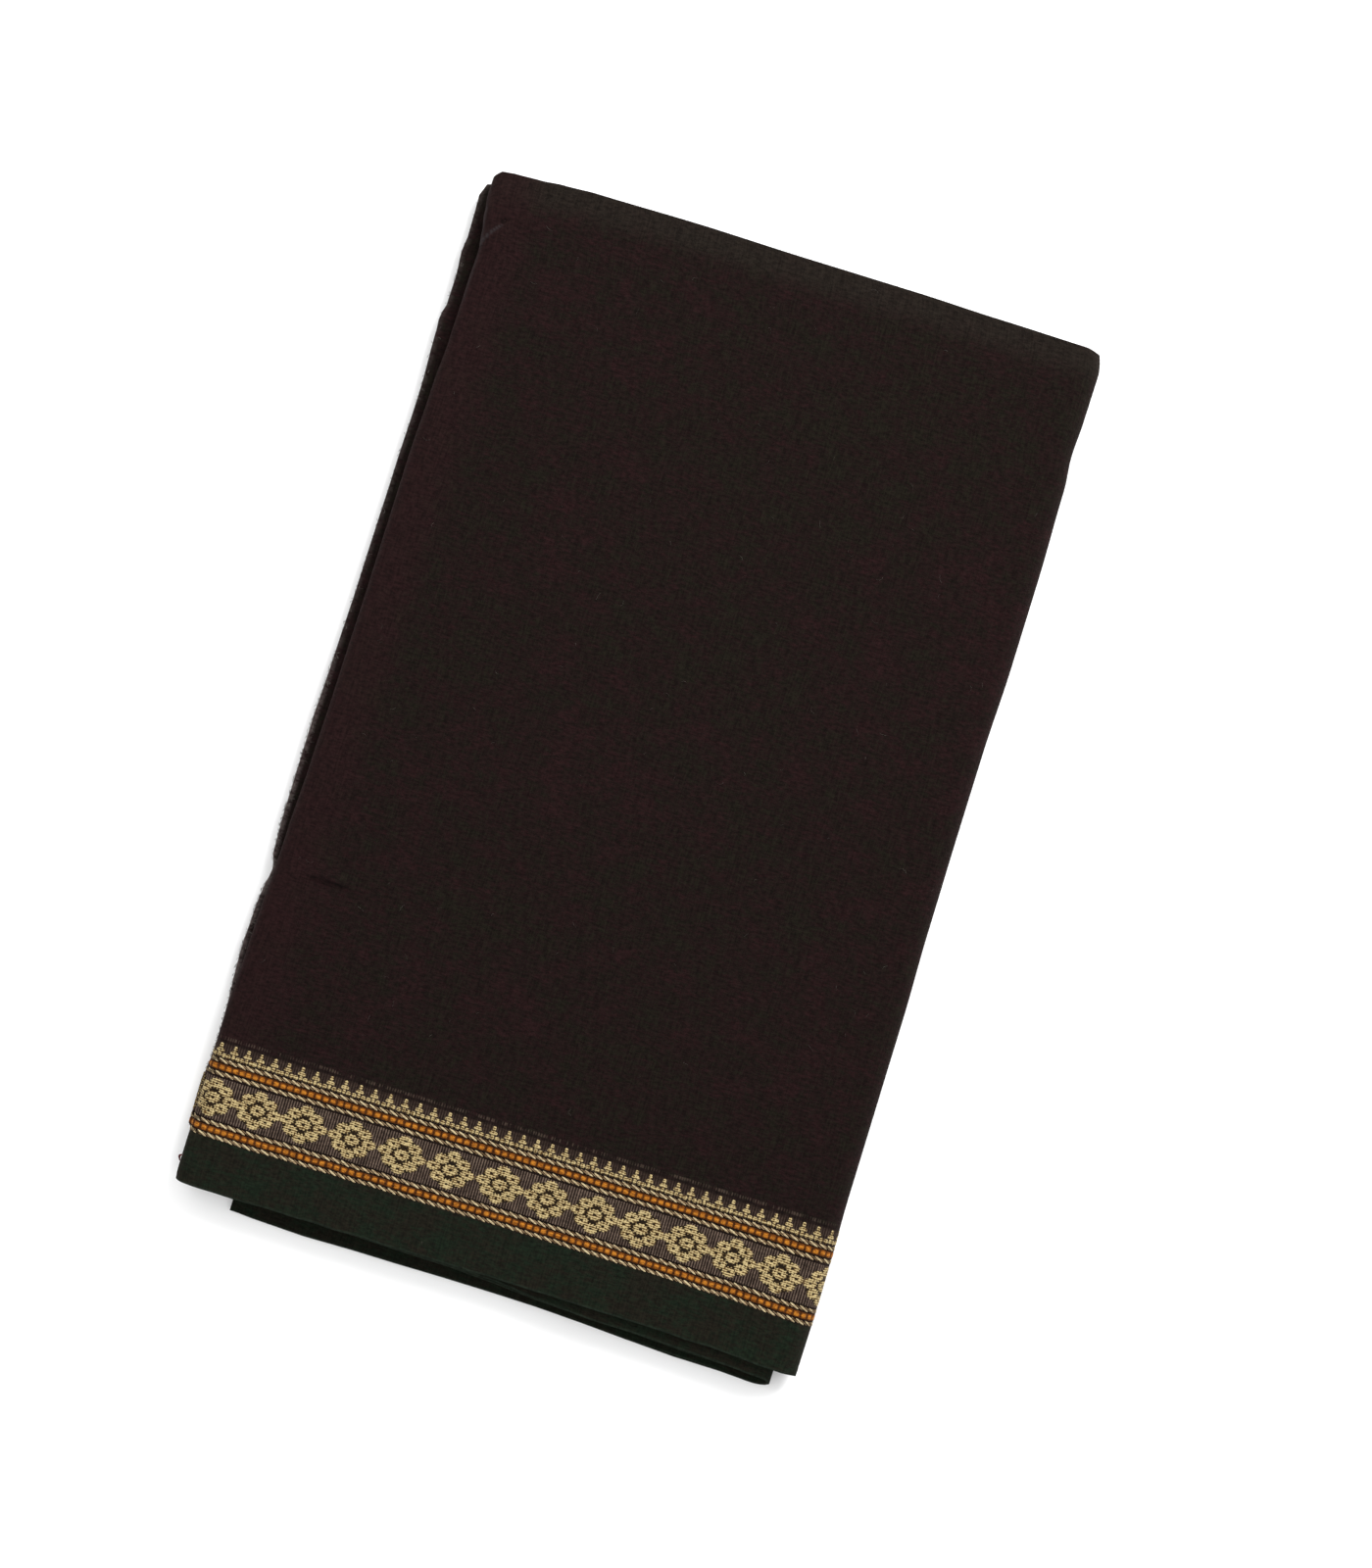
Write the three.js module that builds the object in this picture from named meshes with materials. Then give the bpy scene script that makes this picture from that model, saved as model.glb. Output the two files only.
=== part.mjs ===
// A cotton saree folded flat, as it lies on a shelf.
//
// The cloth is one woven length. It is doubled along its length, selvedge on selvedge, and then halved four
// times across, so that sixteen doubled stretches lie on each other. Each wall here is one doubled stretch.
// The outer stretch makes the top, turns round the right side and makes the underside. At the left it turns
// under the upper half of the stack. The lower half looks out below it at the left and at the front.
//
// Millimetres, +Z up. X runs across the packet from its open left side to its folded right side, and Y from
// the selvedges to the lengthwise fold. The origin is under the middle of its footprint.

import * as THREE from "three";

// The cloth as woven
const clothWidth = 1158;
const clothLength = 5500;
const selvedgeStrip = 27.5;
const borderStrip = 55.2;

// The cloth as folded
const stretchCount = 16;
const packetLength = clothWidth / 2;
const stretchWidth = clothLength / stretchCount;
const outerSlack = 7.2;
const packetWidth = stretchWidth + outerSlack;
const wall = 1.1;
const seamGap = 0.3;
const pitch = wall + seamGap;
const stackHeight = stretchCount * pitch - seamGap;

// Where each stretch lies in the stack, counted from the top
const outerTop = 1;
const second = 2;
const outerTail = 8;
const leftFoldUpper = 9;
const leftFoldLower = 12;
const endStretch = 15;
const outerUnder = 16;
const hiddenFrom = 3;
const hiddenTo = 14;

// How deep the folded-in ends reach, and how the edges are rounded
const tailReach = 40;
const armReach = 34;
const slotClearance = 0.6;
const edgeRound = 0.8;
const edgeShare = 0.45;
const cornerRadius = 5;
const slotLip = 0.05;
const nestSlack = 1;

// The inner stretches turn at the right round one line, loose inside the outer fold: how far in from the
// right side it lies at the top of the stack, and how much further in at the bottom
const nestCentreInset = 20.05;
const nestLean = 4.4;

// Edges that move an outline in or out fade away over this much of the packet's length
const edgeFade = 100;

// The left side of the outer stretch, seen from above
const outerLeftEdge = [
  { y: 0, x: -1.6 },
  { y: 8, x: -2.2 },
  { y: 24, x: -2.2 },
  { y: 32, x: -3.7 },
  { y: 58, x: -3.8 },
  { y: 72, x: -2.6 },
  { y: 100, x: -2.3 },
  { y: 130, x: -1.4 },
  { y: 160, x: -0.7 },
  { y: 178, x: 0.3 },
  { y: 200, x: 0.7 },
  { y: 240, x: 1.9 },
  { y: 282, x: 2.7 },
  { y: 347, x: 3.5 },
  { y: 410, x: 3.8 },
  { y: 454, x: 5 },
  { y: 479, x: 6.3 },
  { y: 512, x: 6.7 },
  { y: 531, x: 7.3 },
  { y: 541, x: 6.2 },
  { y: 552, x: 4.4 },
  { y: 562, x: 3.3 },
  { y: 579, x: 3.6 },
];

// The right side of the outer stretch, measured from the packet's nominal width
const outerRightEdge = [
  { y: 0, x: 0.6 },
  { y: 30, x: 0.8 },
  { y: 60, x: 0.5 },
  { y: 100, x: -0.4 },
  { y: 200, x: -0.6 },
  { y: 250, x: -1.5 },
  { y: 300, x: -1.7 },
  { y: 350, x: -1.6 },
  { y: 400, x: -0.5 },
  { y: 450, x: -0.5 },
  { y: 500, x: -1.4 },
  { y: 520, x: -3 },
  { y: 540, x: -2.2 },
  { y: 566, x: -2 },
  { y: 574, x: -3.2 },
  { y: 579, x: -6 },
];

// How far the selvedge of the outer stretch lies past its straight line
const outerFrontEdge = [
  { x: 0, y: 1.5 },
  { x: 20, y: 0.9 },
  { x: 60, y: 1.2 },
  { x: 180, y: 1.4 },
  { x: 270, y: 0.9 },
  { x: 300, y: 0.2 },
  { x: 340, y: -1.7 },
  { x: 352, y: -1.9 },
];

// How far the lengthwise fold of the outer stretch lies past its straight line
const outerBackEdge = [
  { x: 4, y: -4.5 },
  { x: 8, y: -2.6 },
  { x: 16, y: -1.9 },
  { x: 28, y: -1.4 },
  { x: 42, y: -0.2 },
  { x: 60, y: 0.7 },
  { x: 120, y: 1.3 },
  { x: 180, y: 0.7 },
  { x: 240, y: 0.6 },
  { x: 290, y: -0.2 },
  { x: 338, y: -0.7 },
  { x: 345, y: -1.9 },
  { x: 352, y: -6 },
];

// The left side of the lower half of the stack, which looks out past the outer stretch
const lowerLeftEdge = [
  { y: 0, x: 3 },
  { y: 30, x: 1 },
  { y: 60, x: -0.5 },
  { y: 88, x: -2.2 },
  { y: 100, x: -3.2 },
  { y: 118, x: -4.4 },
  { y: 132, x: -5 },
  { y: 150, x: -4.4 },
  { y: 165, x: -3.7 },
  { y: 178, x: -1 },
  { y: 187, x: -3.7 },
  { y: 210, x: -4.5 },
  { y: 270, x: -4.5 },
  { y: 284, x: -3.7 },
  { y: 347, x: -2.6 },
  { y: 404, x: -2 },
  { y: 450, x: -1.3 },
  { y: 484, x: -2.4 },
  { y: 492, x: -3 },
  { y: 498, x: -1.1 },
  { y: 515, x: -0.9 },
  { y: 530, x: -1.9 },
  { y: 537, x: -1 },
  { y: 550, x: -1.3 },
  { y: 562, x: -1.4 },
  { y: 567, x: 1.5 },
];

// The two stretches that look out past the front, and how far their outlines lie inside the outer one
const secondFrontEdge = [
  { x: 10, y: 3 },
  { x: 150, y: 0 },
  { x: 230, y: -4.6 },
  { x: 300, y: -6.5 },
  { x: 339, y: -8.4 },
];
const endFrontEdge = [
  { x: 30, y: -6.4 },
  { x: 45, y: -7.5 },
  { x: 62, y: -8.3 },
  { x: 160, y: -7.7 },
  { x: 213, y: -8.2 },
  { x: 240, y: -9.7 },
  { x: 260, y: -11 },
  { x: 300, y: -11.3 },
  { x: 336, y: -12.9 },
];
const leftFoldFrontEdge = [{ x: 0, y: 1.5 }];
const secondLeftInset = 5.7;
const secondRightInset = 10.4;
const endRightInset = 14.7;
const endStretchLeft = 30.7;
const underStretchLeft = 3;
const innerBackInset = 6;
const lowerBackInset = 12;
const hiddenFrontInset = 2.5;
const hiddenLeftInset = 1.5;
const unevenFront = { every: 3, by: 0.5 };
const unevenBack = { every: 2, by: 0.8 };

// The packet is a little lower at its ends, and an old press fold crosses it
const frontDroop = { share: 0.05, over: 30 };
const backDroop = { share: 0.04, over: 16 };
const pressFold = { y: 178, share: 0.014, over: 7, middleShare: 0.3 };

// A short tuck at the upper left corner stands up as a lip
const cornerTuck = {
  from: new THREE.Vector2(7.4, 536),
  to: new THREE.Vector2(17.4, 549.4),
  height: 1.1,
  over: 2.4,
};

// Places across and along the packet where the walls have points
const stationsAlong = [
  0, 14, 41, 55, 69, 104, 132, 156, 168, 178, 188, 205, 240, 284, 345, 404, 454, 483, 492, 499, 518, 530, 537,
  543, 550, 557, 563, 571, packetLength,
];
const sharesAcross = [0, 0.015, 0.03, 0.045, 0.065, 0.1, 0.17, 0.28, 0.42, 0.56, 0.7, 0.84, 0.94, 1];
const hiddenSharesAcross = [0, 0.012, 0.05, 0.15, 0.4, 0.7, 0.93, 0.985, 1];
const armShares = [0, 0.5, 1];
const rightTurnSteps = 9;
const leftTurnSteps = 6;
const armTurnSteps = 6;

const { lerp, smoothstep } = THREE.MathUtils;

// Reads one column of a table at a place in another, easing from row to row.
function follow(rows, from, to, place) {
  const next = rows.findIndex((row) => row[from] >= place);
  if (next === 0) return rows[0][to];
  if (next < 0) return rows.at(-1)[to];
  const [a, b] = [rows[next - 1], rows[next]];
  return lerp(a[to], b[to], smoothstep(place, a[from], b[from]));
}

const outerLeft = (y) => follow(outerLeftEdge, "y", "x", y);
const outerRight = (y) => packetWidth + follow(outerRightEdge, "y", "x", y);
const lowerLeft = (y) => follow(lowerLeftEdge, "y", "x", y);

// Mid-height of a stretch before the packet's crown, by its place in the stack
function levelOf(place) {
  return stackHeight - wall / 2 - (place - 1) * pitch;
}

// The share of its full height that the stack has at a point
function heightShare(x, y) {
  const acrossShare = Math.abs(x / packetWidth - 0.5) * 2;
  const pressed = pressFold.share * lerp(pressFold.middleShare, 1, acrossShare ** 2);
  return (
    1 -
    frontDroop.share * Math.exp(-Math.max(y, 0) / frontDroop.over) -
    backDroop.share * Math.exp(-Math.max(packetLength - y, 0) / backDroop.over) -
    pressed * Math.exp(-(((y - pressFold.y) / pressFold.over) ** 2))
  );
}

// Height of the lip of the corner tuck over the top
function tuckHeight(x, y) {
  const tuck = new THREE.Line3(
    new THREE.Vector3(cornerTuck.from.x, cornerTuck.from.y, 0),
    new THREE.Vector3(cornerTuck.to.x, cornerTuck.to.y, 0),
  );
  const point = new THREE.Vector3(x, y, 0);
  const away = tuck.closestPointToPoint(point, true, new THREE.Vector3()).distanceTo(point);
  return cornerTuck.height * Math.exp(-((away / cornerTuck.over) ** 2));
}

// A station along the packet moved by the shape of a stretch's two ends
function stationAt(station, x, frontEdge, backEdge) {
  const front = follow(frontEdge, "x", "y", x) * (1 - smoothstep(station, 0, edgeFade));
  const back = follow(backEdge, "x", "y", x) * smoothstep(station, packetLength - edgeFade, packetLength);
  return station + front + back;
}

// A closed solid from its points and its triangles
function solidFrom(points, triangles) {
  const geometry = new THREE.BufferGeometry();
  geometry.setAttribute("position", new THREE.Float32BufferAttribute(points.flatMap((p) => p.toArray()), 3));
  geometry.setIndex(triangles);
  geometry.computeVertexNormals();
  return geometry;
}

// Closes a wall between two sheets of points. Columns run from right to left over the top.
// Rows run from front to back.
function wallBetween(outer, inner) {
  const columns = outer.length;
  const rows = outer[0].length;
  const out = (i, j) => i * rows + j;
  const into = (i, j) => columns * rows + i * rows + j;
  const triangles = [];
  const quad = (a, b, c, d) => triangles.push(a, b, c, a, c, d);
  for (let i = 0; i < columns - 1; i += 1) {
    for (let j = 0; j < rows - 1; j += 1) {
      quad(out(i, j), out(i, j + 1), out(i + 1, j + 1), out(i + 1, j));
      quad(into(i, j), into(i + 1, j), into(i + 1, j + 1), into(i, j + 1));
    }
    const last = rows - 1;
    quad(out(i, 0), out(i + 1, 0), into(i + 1, 0), into(i, 0));
    quad(out(i + 1, last), out(i, last), into(i, last), into(i + 1, last));
  }
  for (let j = 0; j < rows - 1; j += 1) {
    const last = columns - 1;
    quad(out(0, j + 1), out(0, j), into(0, j), into(0, j + 1));
    quad(out(last, j), out(last, j + 1), into(last, j + 1), into(last, j));
  }
  return solidFrom([...outer.flat(), ...inner.flat()], triangles);
}

// The run of a folded wall across the packet: its middle line, and which way its outer face looks.
function flatRun(fromX, toX, shares, level, up) {
  return shares.map((share) => ({ x: lerp(fromX, toX, share), level, across: 0, up }));
}

function turnRun(centreX, centreLevel, radius, fromAngle, toAngle, steps) {
  return Array.from({ length: steps - 1 }, (_, step) => {
    const angle = lerp(fromAngle, toAngle, (step + 1) / steps);
    const [across, up] = [Math.cos(angle), Math.sin(angle)];
    return { x: centreX + radius * across, level: centreLevel + radius * up, across, up };
  });
}

// Underside, right turn, top, left turn and the tail that is folded in under the upper half
function outerRun(y) {
  const [top, under, tail] = [levelOf(outerTop), levelOf(outerUnder), levelOf(outerTail)];
  const rightRadius = (top - under) / 2;
  const leftRadius = (top - tail) / 2;
  const rightCentre = outerRight(y) - wall / 2 - rightRadius;
  const leftCentre = outerLeft(y) + wall / 2 + leftRadius;
  const fromRight = sharesAcross.map((share) => 1 - share).reverse();
  return [
    ...flatRun(underStretchLeft, rightCentre, sharesAcross, under, -1),
    ...turnRun(rightCentre, (top + under) / 2, rightRadius, -Math.PI / 2, Math.PI / 2, rightTurnSteps),
    ...flatRun(rightCentre, leftCentre, fromRight, top, 1),
    ...turnRun(leftCentre, (top + tail) / 2, leftRadius, Math.PI / 2, (3 * Math.PI) / 2, leftTurnSteps),
    ...flatRun(leftCentre, leftCentre + tailReach, armShares, tail, -1),
  ];
}

// The lower fold that looks out along the left side, with its two arms
function leftFoldRun(y) {
  const [upper, lower] = [levelOf(leftFoldUpper), levelOf(leftFoldLower)];
  const radius = (upper - lower) / 2;
  const centre = lowerLeft(y) + wall / 2 + radius;
  return [
    ...flatRun(centre + armReach, centre, armShares, upper, 1),
    ...turnRun(centre, (upper + lower) / 2, radius, Math.PI / 2, (3 * Math.PI) / 2, armTurnSteps),
    ...flatRun(centre, centre + armReach, armShares, lower, -1),
  ];
}

// A wall that follows a run across the packet, between two stations along it
function foldedWall(run, stations, frontEdge, backEdge, backInset) {
  const columnCount = run(0).length;
  const faces = [1, -1].map((side) =>
    Array.from({ length: columnCount }, (_, column) =>
      stations.map(({ station, thickness }) => {
        const nominal = run(Math.min(station, packetLength))[column];
        const y = stationAt(station, nominal.x, frontEdge, backEdge);
        const moved = y - backInset * smoothstep(station, packetLength - edgeFade, packetLength);
        const { x, level, across, up } = run(moved)[column];
        const off = (side * wall * thickness) / 2;
        const lip = level > levelOf(second) ? tuckHeight(x, moved) * smoothstep(up, 0, 1) : 0;
        const z = Math.max((level + off * up) * heightShare(x, moved), 0);
        return new THREE.Vector3(x + off * across, moved, z + lip);
      }),
    ),
  );
  return wallBetween(...faces);
}

// Stations between two distances from the selvedge. A lengthwise fold is rounded, a selvedge is left square.
function stationsFrom(start, end) {
  const inside = stationsAlong.filter((station) => station > start + 2 && station < end - 2);
  const listed = [start, ...inside, end].map((station) => ({ station, thickness: 1 }));
  if (end < packetLength) return listed;
  const rounded = { station: end - edgeRound, thickness: 1 };
  return [...listed.slice(0, -1), rounded, { station: end, thickness: edgeShare }];
}

// One doubled stretch that lies flat, with all its edges rounded but the selvedges
function flatStretch(place, leftOf, rightOf, stations, frontEdge, backInset) {
  const level = levelOf(place);
  const steps = [
    { share: 1, inset: 0, thickness: edgeShare },
    { share: 1, inset: -edgeRound, thickness: 1 },
    ...sharesAcross.slice(1, -1).map((share) => ({ share: 1 - share, inset: 0, thickness: 1 })),
    { share: 0, inset: edgeRound, thickness: 1 },
    { share: 0, inset: 0, thickness: edgeShare },
  ];
  const faces = [1, -1].map((side) =>
    steps.map((step) =>
      stations.map(({ station, thickness }) => {
        const y =
          stationAt(station, lerp(leftOf(station), rightOf(station), step.share), frontEdge, outerBackEdge) -
          backInset * smoothstep(station, packetLength - edgeFade, packetLength);
        const x = lerp(leftOf(y), rightOf(y), step.share) + step.inset;
        const off = (side * wall * Math.min(step.thickness, thickness)) / 2;
        return new THREE.Vector3(x, y, (level + off) * heightShare(x, y));
      }),
    ),
  );
  return wallBetween(...faces);
}

// The outline of one hidden stretch: how far in its left and right sides lie
function hiddenSides(place) {
  const fromMiddle = levelOf(place) - (levelOf(outerTop) + levelOf(outerUnder)) / 2;
  const nestRadius = (levelOf(second) - levelOf(endStretch)) / 2 + wall / 2;
  const centreInset = nestCentreInset + nestLean * (1 - levelOf(place) / stackHeight);
  const right = (y) => outerRight(y) - centreInset + Math.sqrt(nestRadius ** 2 - fromMiddle ** 2);
  const upperRadius = (levelOf(outerTop) - levelOf(outerTail)) / 2;
  const fromUpperMiddle = levelOf(place) - (levelOf(outerTop) + levelOf(outerTail)) / 2;
  const leftRadius = Math.max(upperRadius - wall / 2 - slotClearance, Math.abs(fromUpperMiddle));
  const leftBow = Math.sqrt(leftRadius ** 2 - fromUpperMiddle ** 2);
  const leftInset = wall / 2 + upperRadius - leftBow + slotClearance;
  const armRadius = (levelOf(leftFoldUpper) - levelOf(leftFoldLower)) / 2;

  if (place < outerTail) return { left: (y) => outerLeft(y) + leftInset, right, slot: false };
  if (place === outerTail) {
    const reach = wall + upperRadius + tailReach + slotClearance;
    return { left: (y) => outerLeft(y) + reach, right, slot: true };
  }
  if (place === leftFoldUpper || place === leftFoldLower) {
    const reach = wall + armRadius + armReach + slotClearance;
    return { left: (y) => lowerLeft(y) + reach, right, slot: true };
  }
  if (place < leftFoldLower) {
    const reach = wall + slotClearance + nestSlack;
    return { left: (y) => lowerLeft(y) + reach, right, slot: false };
  }
  return { left: (y) => lowerLeft(y) + hiddenLeftInset, right, slot: false };
}

// Pulls a point of an outline in where two straight sides meet, so that the corner is round in plan.
function roundedCorner(x, y, low, high) {
  const middle = new THREE.Vector2(
    Math.min(Math.max(x, low.x + cornerRadius), high.x - cornerRadius),
    Math.min(Math.max(y, low.y + cornerRadius), high.y - cornerRadius),
  );
  const offset = new THREE.Vector2(x, y).sub(middle);
  if (offset.length() > cornerRadius) offset.setLength(cornerRadius);
  return middle.add(offset);
}

// The hidden stretches as one solid. Each is a layer that bulges, with a groove over and under it.
function hiddenLayers() {
  const columns = hiddenSharesAcross.length;
  const rows = stationsAlong.length;

  const pointOf = (place, i, j, inset, level) => {
    const { left, right } = hiddenSides(place);
    const backInset = place > outerTail ? lowerBackInset : innerBackInset;
    const frontY = hiddenFrontInset + inset + (place % unevenFront.every) * unevenFront.by;
    const backY = packetLength - backInset - inset - (place % unevenBack.every) * unevenBack.by;
    const y = lerp(frontY, backY, stationsAlong[j] / packetLength);
    const low = new THREE.Vector2(left(y) + inset, frontY);
    const high = new THREE.Vector2(right(y) - inset, backY);
    const at = roundedCorner(lerp(low.x, high.x, hiddenSharesAcross[i]), y, low, high);
    return new THREE.Vector3(at.x, at.y, level * heightShare(at.x, at.y));
  };

  const rim = [];
  for (let i = 0; i < columns; i += 1) rim.push([i, 0]);
  for (let j = 1; j < rows; j += 1) rim.push([columns - 1, j]);
  for (let i = columns - 2; i >= 0; i -= 1) rim.push([i, rows - 1]);
  for (let j = rows - 2; j > 0; j -= 1) rim.push([0, j]);

  const rings = [];
  for (let place = hiddenTo; place >= hiddenFrom; place -= 1) {
    const open = hiddenSides(place).slot ? seamGap - slotLip : 0;
    const level = levelOf(place);
    rings.push({ place, inset: edgeRound, level: level - wall / 2 - open });
    rings.push({ place, inset: 0, level });
    rings.push({ place, inset: edgeRound, level: level + wall / 2 + open });
  }

  const ringPoints = ({ place, inset, level }) => rim.map(([i, j]) => pointOf(place, i, j, inset, level));
  const points = rings.flatMap(ringPoints);
  const triangles = [];
  const quad = (a, b, c, d) => triangles.push(a, b, c, a, c, d);
  for (let ring = 0; ring < rings.length - 1; ring += 1) {
    rim.forEach((_, at) => {
      const next = (at + 1) % rim.length;
      const [below, above] = [ring * rim.length, (ring + 1) * rim.length];
      quad(below + at, below + next, above + next, above + at);
    });
  }

  const capIndex = (ring) => {
    const { place, inset, level } = rings[ring];
    const found = new Map(rim.map(([i, j], at) => [`${i} ${j}`, ring * rim.length + at]));
    for (let i = 1; i < columns - 1; i += 1) {
      for (let j = 1; j < rows - 1; j += 1) {
        found.set(`${i} ${j}`, points.length);
        points.push(pointOf(place, i, j, inset, level));
      }
    }
    return (i, j) => found.get(`${i} ${j}`);
  };
  const underside = capIndex(0);
  const upside = capIndex(rings.length - 1);
  for (let i = 0; i < columns - 1; i += 1) {
    for (let j = 0; j < rows - 1; j += 1) {
      quad(upside(i, j), upside(i + 1, j), upside(i + 1, j + 1), upside(i, j + 1));
      quad(underside(i, j), underside(i, j + 1), underside(i + 1, j + 1), underside(i + 1, j));
    }
  }
  return solidFrom(points, triangles);
}

const fieldCloth = { color: 0x241a18, roughness: 0.92, metalness: 0 };
const borderCloth = { color: 0x8a7350, roughness: 0.8, metalness: 0 };
const selvedgeCloth = { color: 0x1b2a20, roughness: 0.9, metalness: 0 };

function piece(name, geometry, cloth) {
  const mesh = new THREE.Mesh(geometry, new THREE.MeshStandardMaterial(cloth));
  mesh.name = name;
  return mesh;
}

const borderEnd = selvedgeStrip + borderStrip;
const wovenParts = [
  { part: "selvedge", start: 0, end: selvedgeStrip, cloth: selvedgeCloth },
  { part: "border", start: selvedgeStrip + seamGap, end: borderEnd, cloth: borderCloth },
  { part: "field", start: borderEnd + seamGap, end: packetLength, cloth: fieldCloth },
];
const plainParts = [
  { part: "selvedge", start: 0, end: selvedgeStrip, cloth: selvedgeCloth },
  { part: "field", start: selvedgeStrip + seamGap, end: packetLength, cloth: fieldCloth },
];

function outerStretch() {
  const group = new THREE.Group();
  for (const { part, start, end, cloth } of wovenParts) {
    const geometry = foldedWall(outerRun, stationsFrom(start, end), outerFrontEdge, outerBackEdge, 0);
    group.add(piece(`outer_stretch_${part}`, geometry, cloth));
  }
  return group;
}

function secondStretch() {
  const left = (y) => outerLeft(y) + secondLeftInset;
  const right = (y) => outerRight(y) - secondRightInset;
  const group = new THREE.Group();
  for (const { part, start, end, cloth } of plainParts) {
    const stations = stationsFrom(start, end);
    const geometry = flatStretch(second, left, right, stations, secondFrontEdge, innerBackInset);
    group.add(piece(`second_stretch_${part}`, geometry, cloth));
  }
  return group;
}

function lastStretch() {
  const left = () => endStretchLeft;
  const right = (y) => outerRight(y) - endRightInset;
  const group = new THREE.Group();
  for (const { part, start, end, cloth } of plainParts) {
    const stations = stationsFrom(start, end);
    const geometry = flatStretch(endStretch, left, right, stations, endFrontEdge, lowerBackInset);
    group.add(piece(`end_stretch_${part}`, geometry, cloth));
  }
  return group;
}

function leftFold() {
  const group = new THREE.Group();
  for (const { part, start, end, cloth } of wovenParts) {
    const stations = stationsFrom(start, end);
    const geometry = foldedWall(leftFoldRun, stations, leftFoldFrontEdge, outerBackEdge, lowerBackInset);
    group.add(piece(`left_fold_${part}`, geometry, cloth));
  }
  return group;
}

const saree = new THREE.Group();
saree.name = "folded_saree";
saree.add(outerStretch(), secondStretch(), lastStretch(), leftFold());
saree.add(piece("hidden_layers", hiddenLayers(), fieldCloth));

// The origin goes under the middle of the footprint.
const footprint = new THREE.Box3().setFromObject(saree);
const middle = footprint.getCenter(new THREE.Vector3());
for (const child of saree.children) child.position.set(-middle.x, -middle.y, -footprint.min.z);

export default saree;
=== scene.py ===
import bisect
import math
import random

import bmesh
import bpy
from mathutils import Matrix, Vector, noise


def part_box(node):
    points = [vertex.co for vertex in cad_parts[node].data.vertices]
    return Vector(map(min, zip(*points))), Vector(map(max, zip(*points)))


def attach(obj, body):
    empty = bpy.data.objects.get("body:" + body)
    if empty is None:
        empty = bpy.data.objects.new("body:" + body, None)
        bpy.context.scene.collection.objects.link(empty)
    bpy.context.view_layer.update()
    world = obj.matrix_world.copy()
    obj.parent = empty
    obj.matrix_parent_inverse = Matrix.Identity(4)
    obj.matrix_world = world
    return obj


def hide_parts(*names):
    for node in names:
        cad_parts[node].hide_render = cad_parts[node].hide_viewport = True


# A cotton saree folded flat: one length of cloth, doubled on its width and halved four times on its length.
# Cloth is drawn flat, in mm (x along its length, y across it, z out of its face), then laid in the fold.

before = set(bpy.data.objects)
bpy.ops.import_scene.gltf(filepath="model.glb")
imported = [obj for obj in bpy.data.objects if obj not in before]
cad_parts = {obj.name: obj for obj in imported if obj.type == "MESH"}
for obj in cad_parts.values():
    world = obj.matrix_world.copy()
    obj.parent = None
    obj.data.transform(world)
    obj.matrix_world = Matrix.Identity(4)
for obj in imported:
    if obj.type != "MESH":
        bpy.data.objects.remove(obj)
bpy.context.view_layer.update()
mm = 0.001
print("frame loaded,", len(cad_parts), "nodes")

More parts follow.
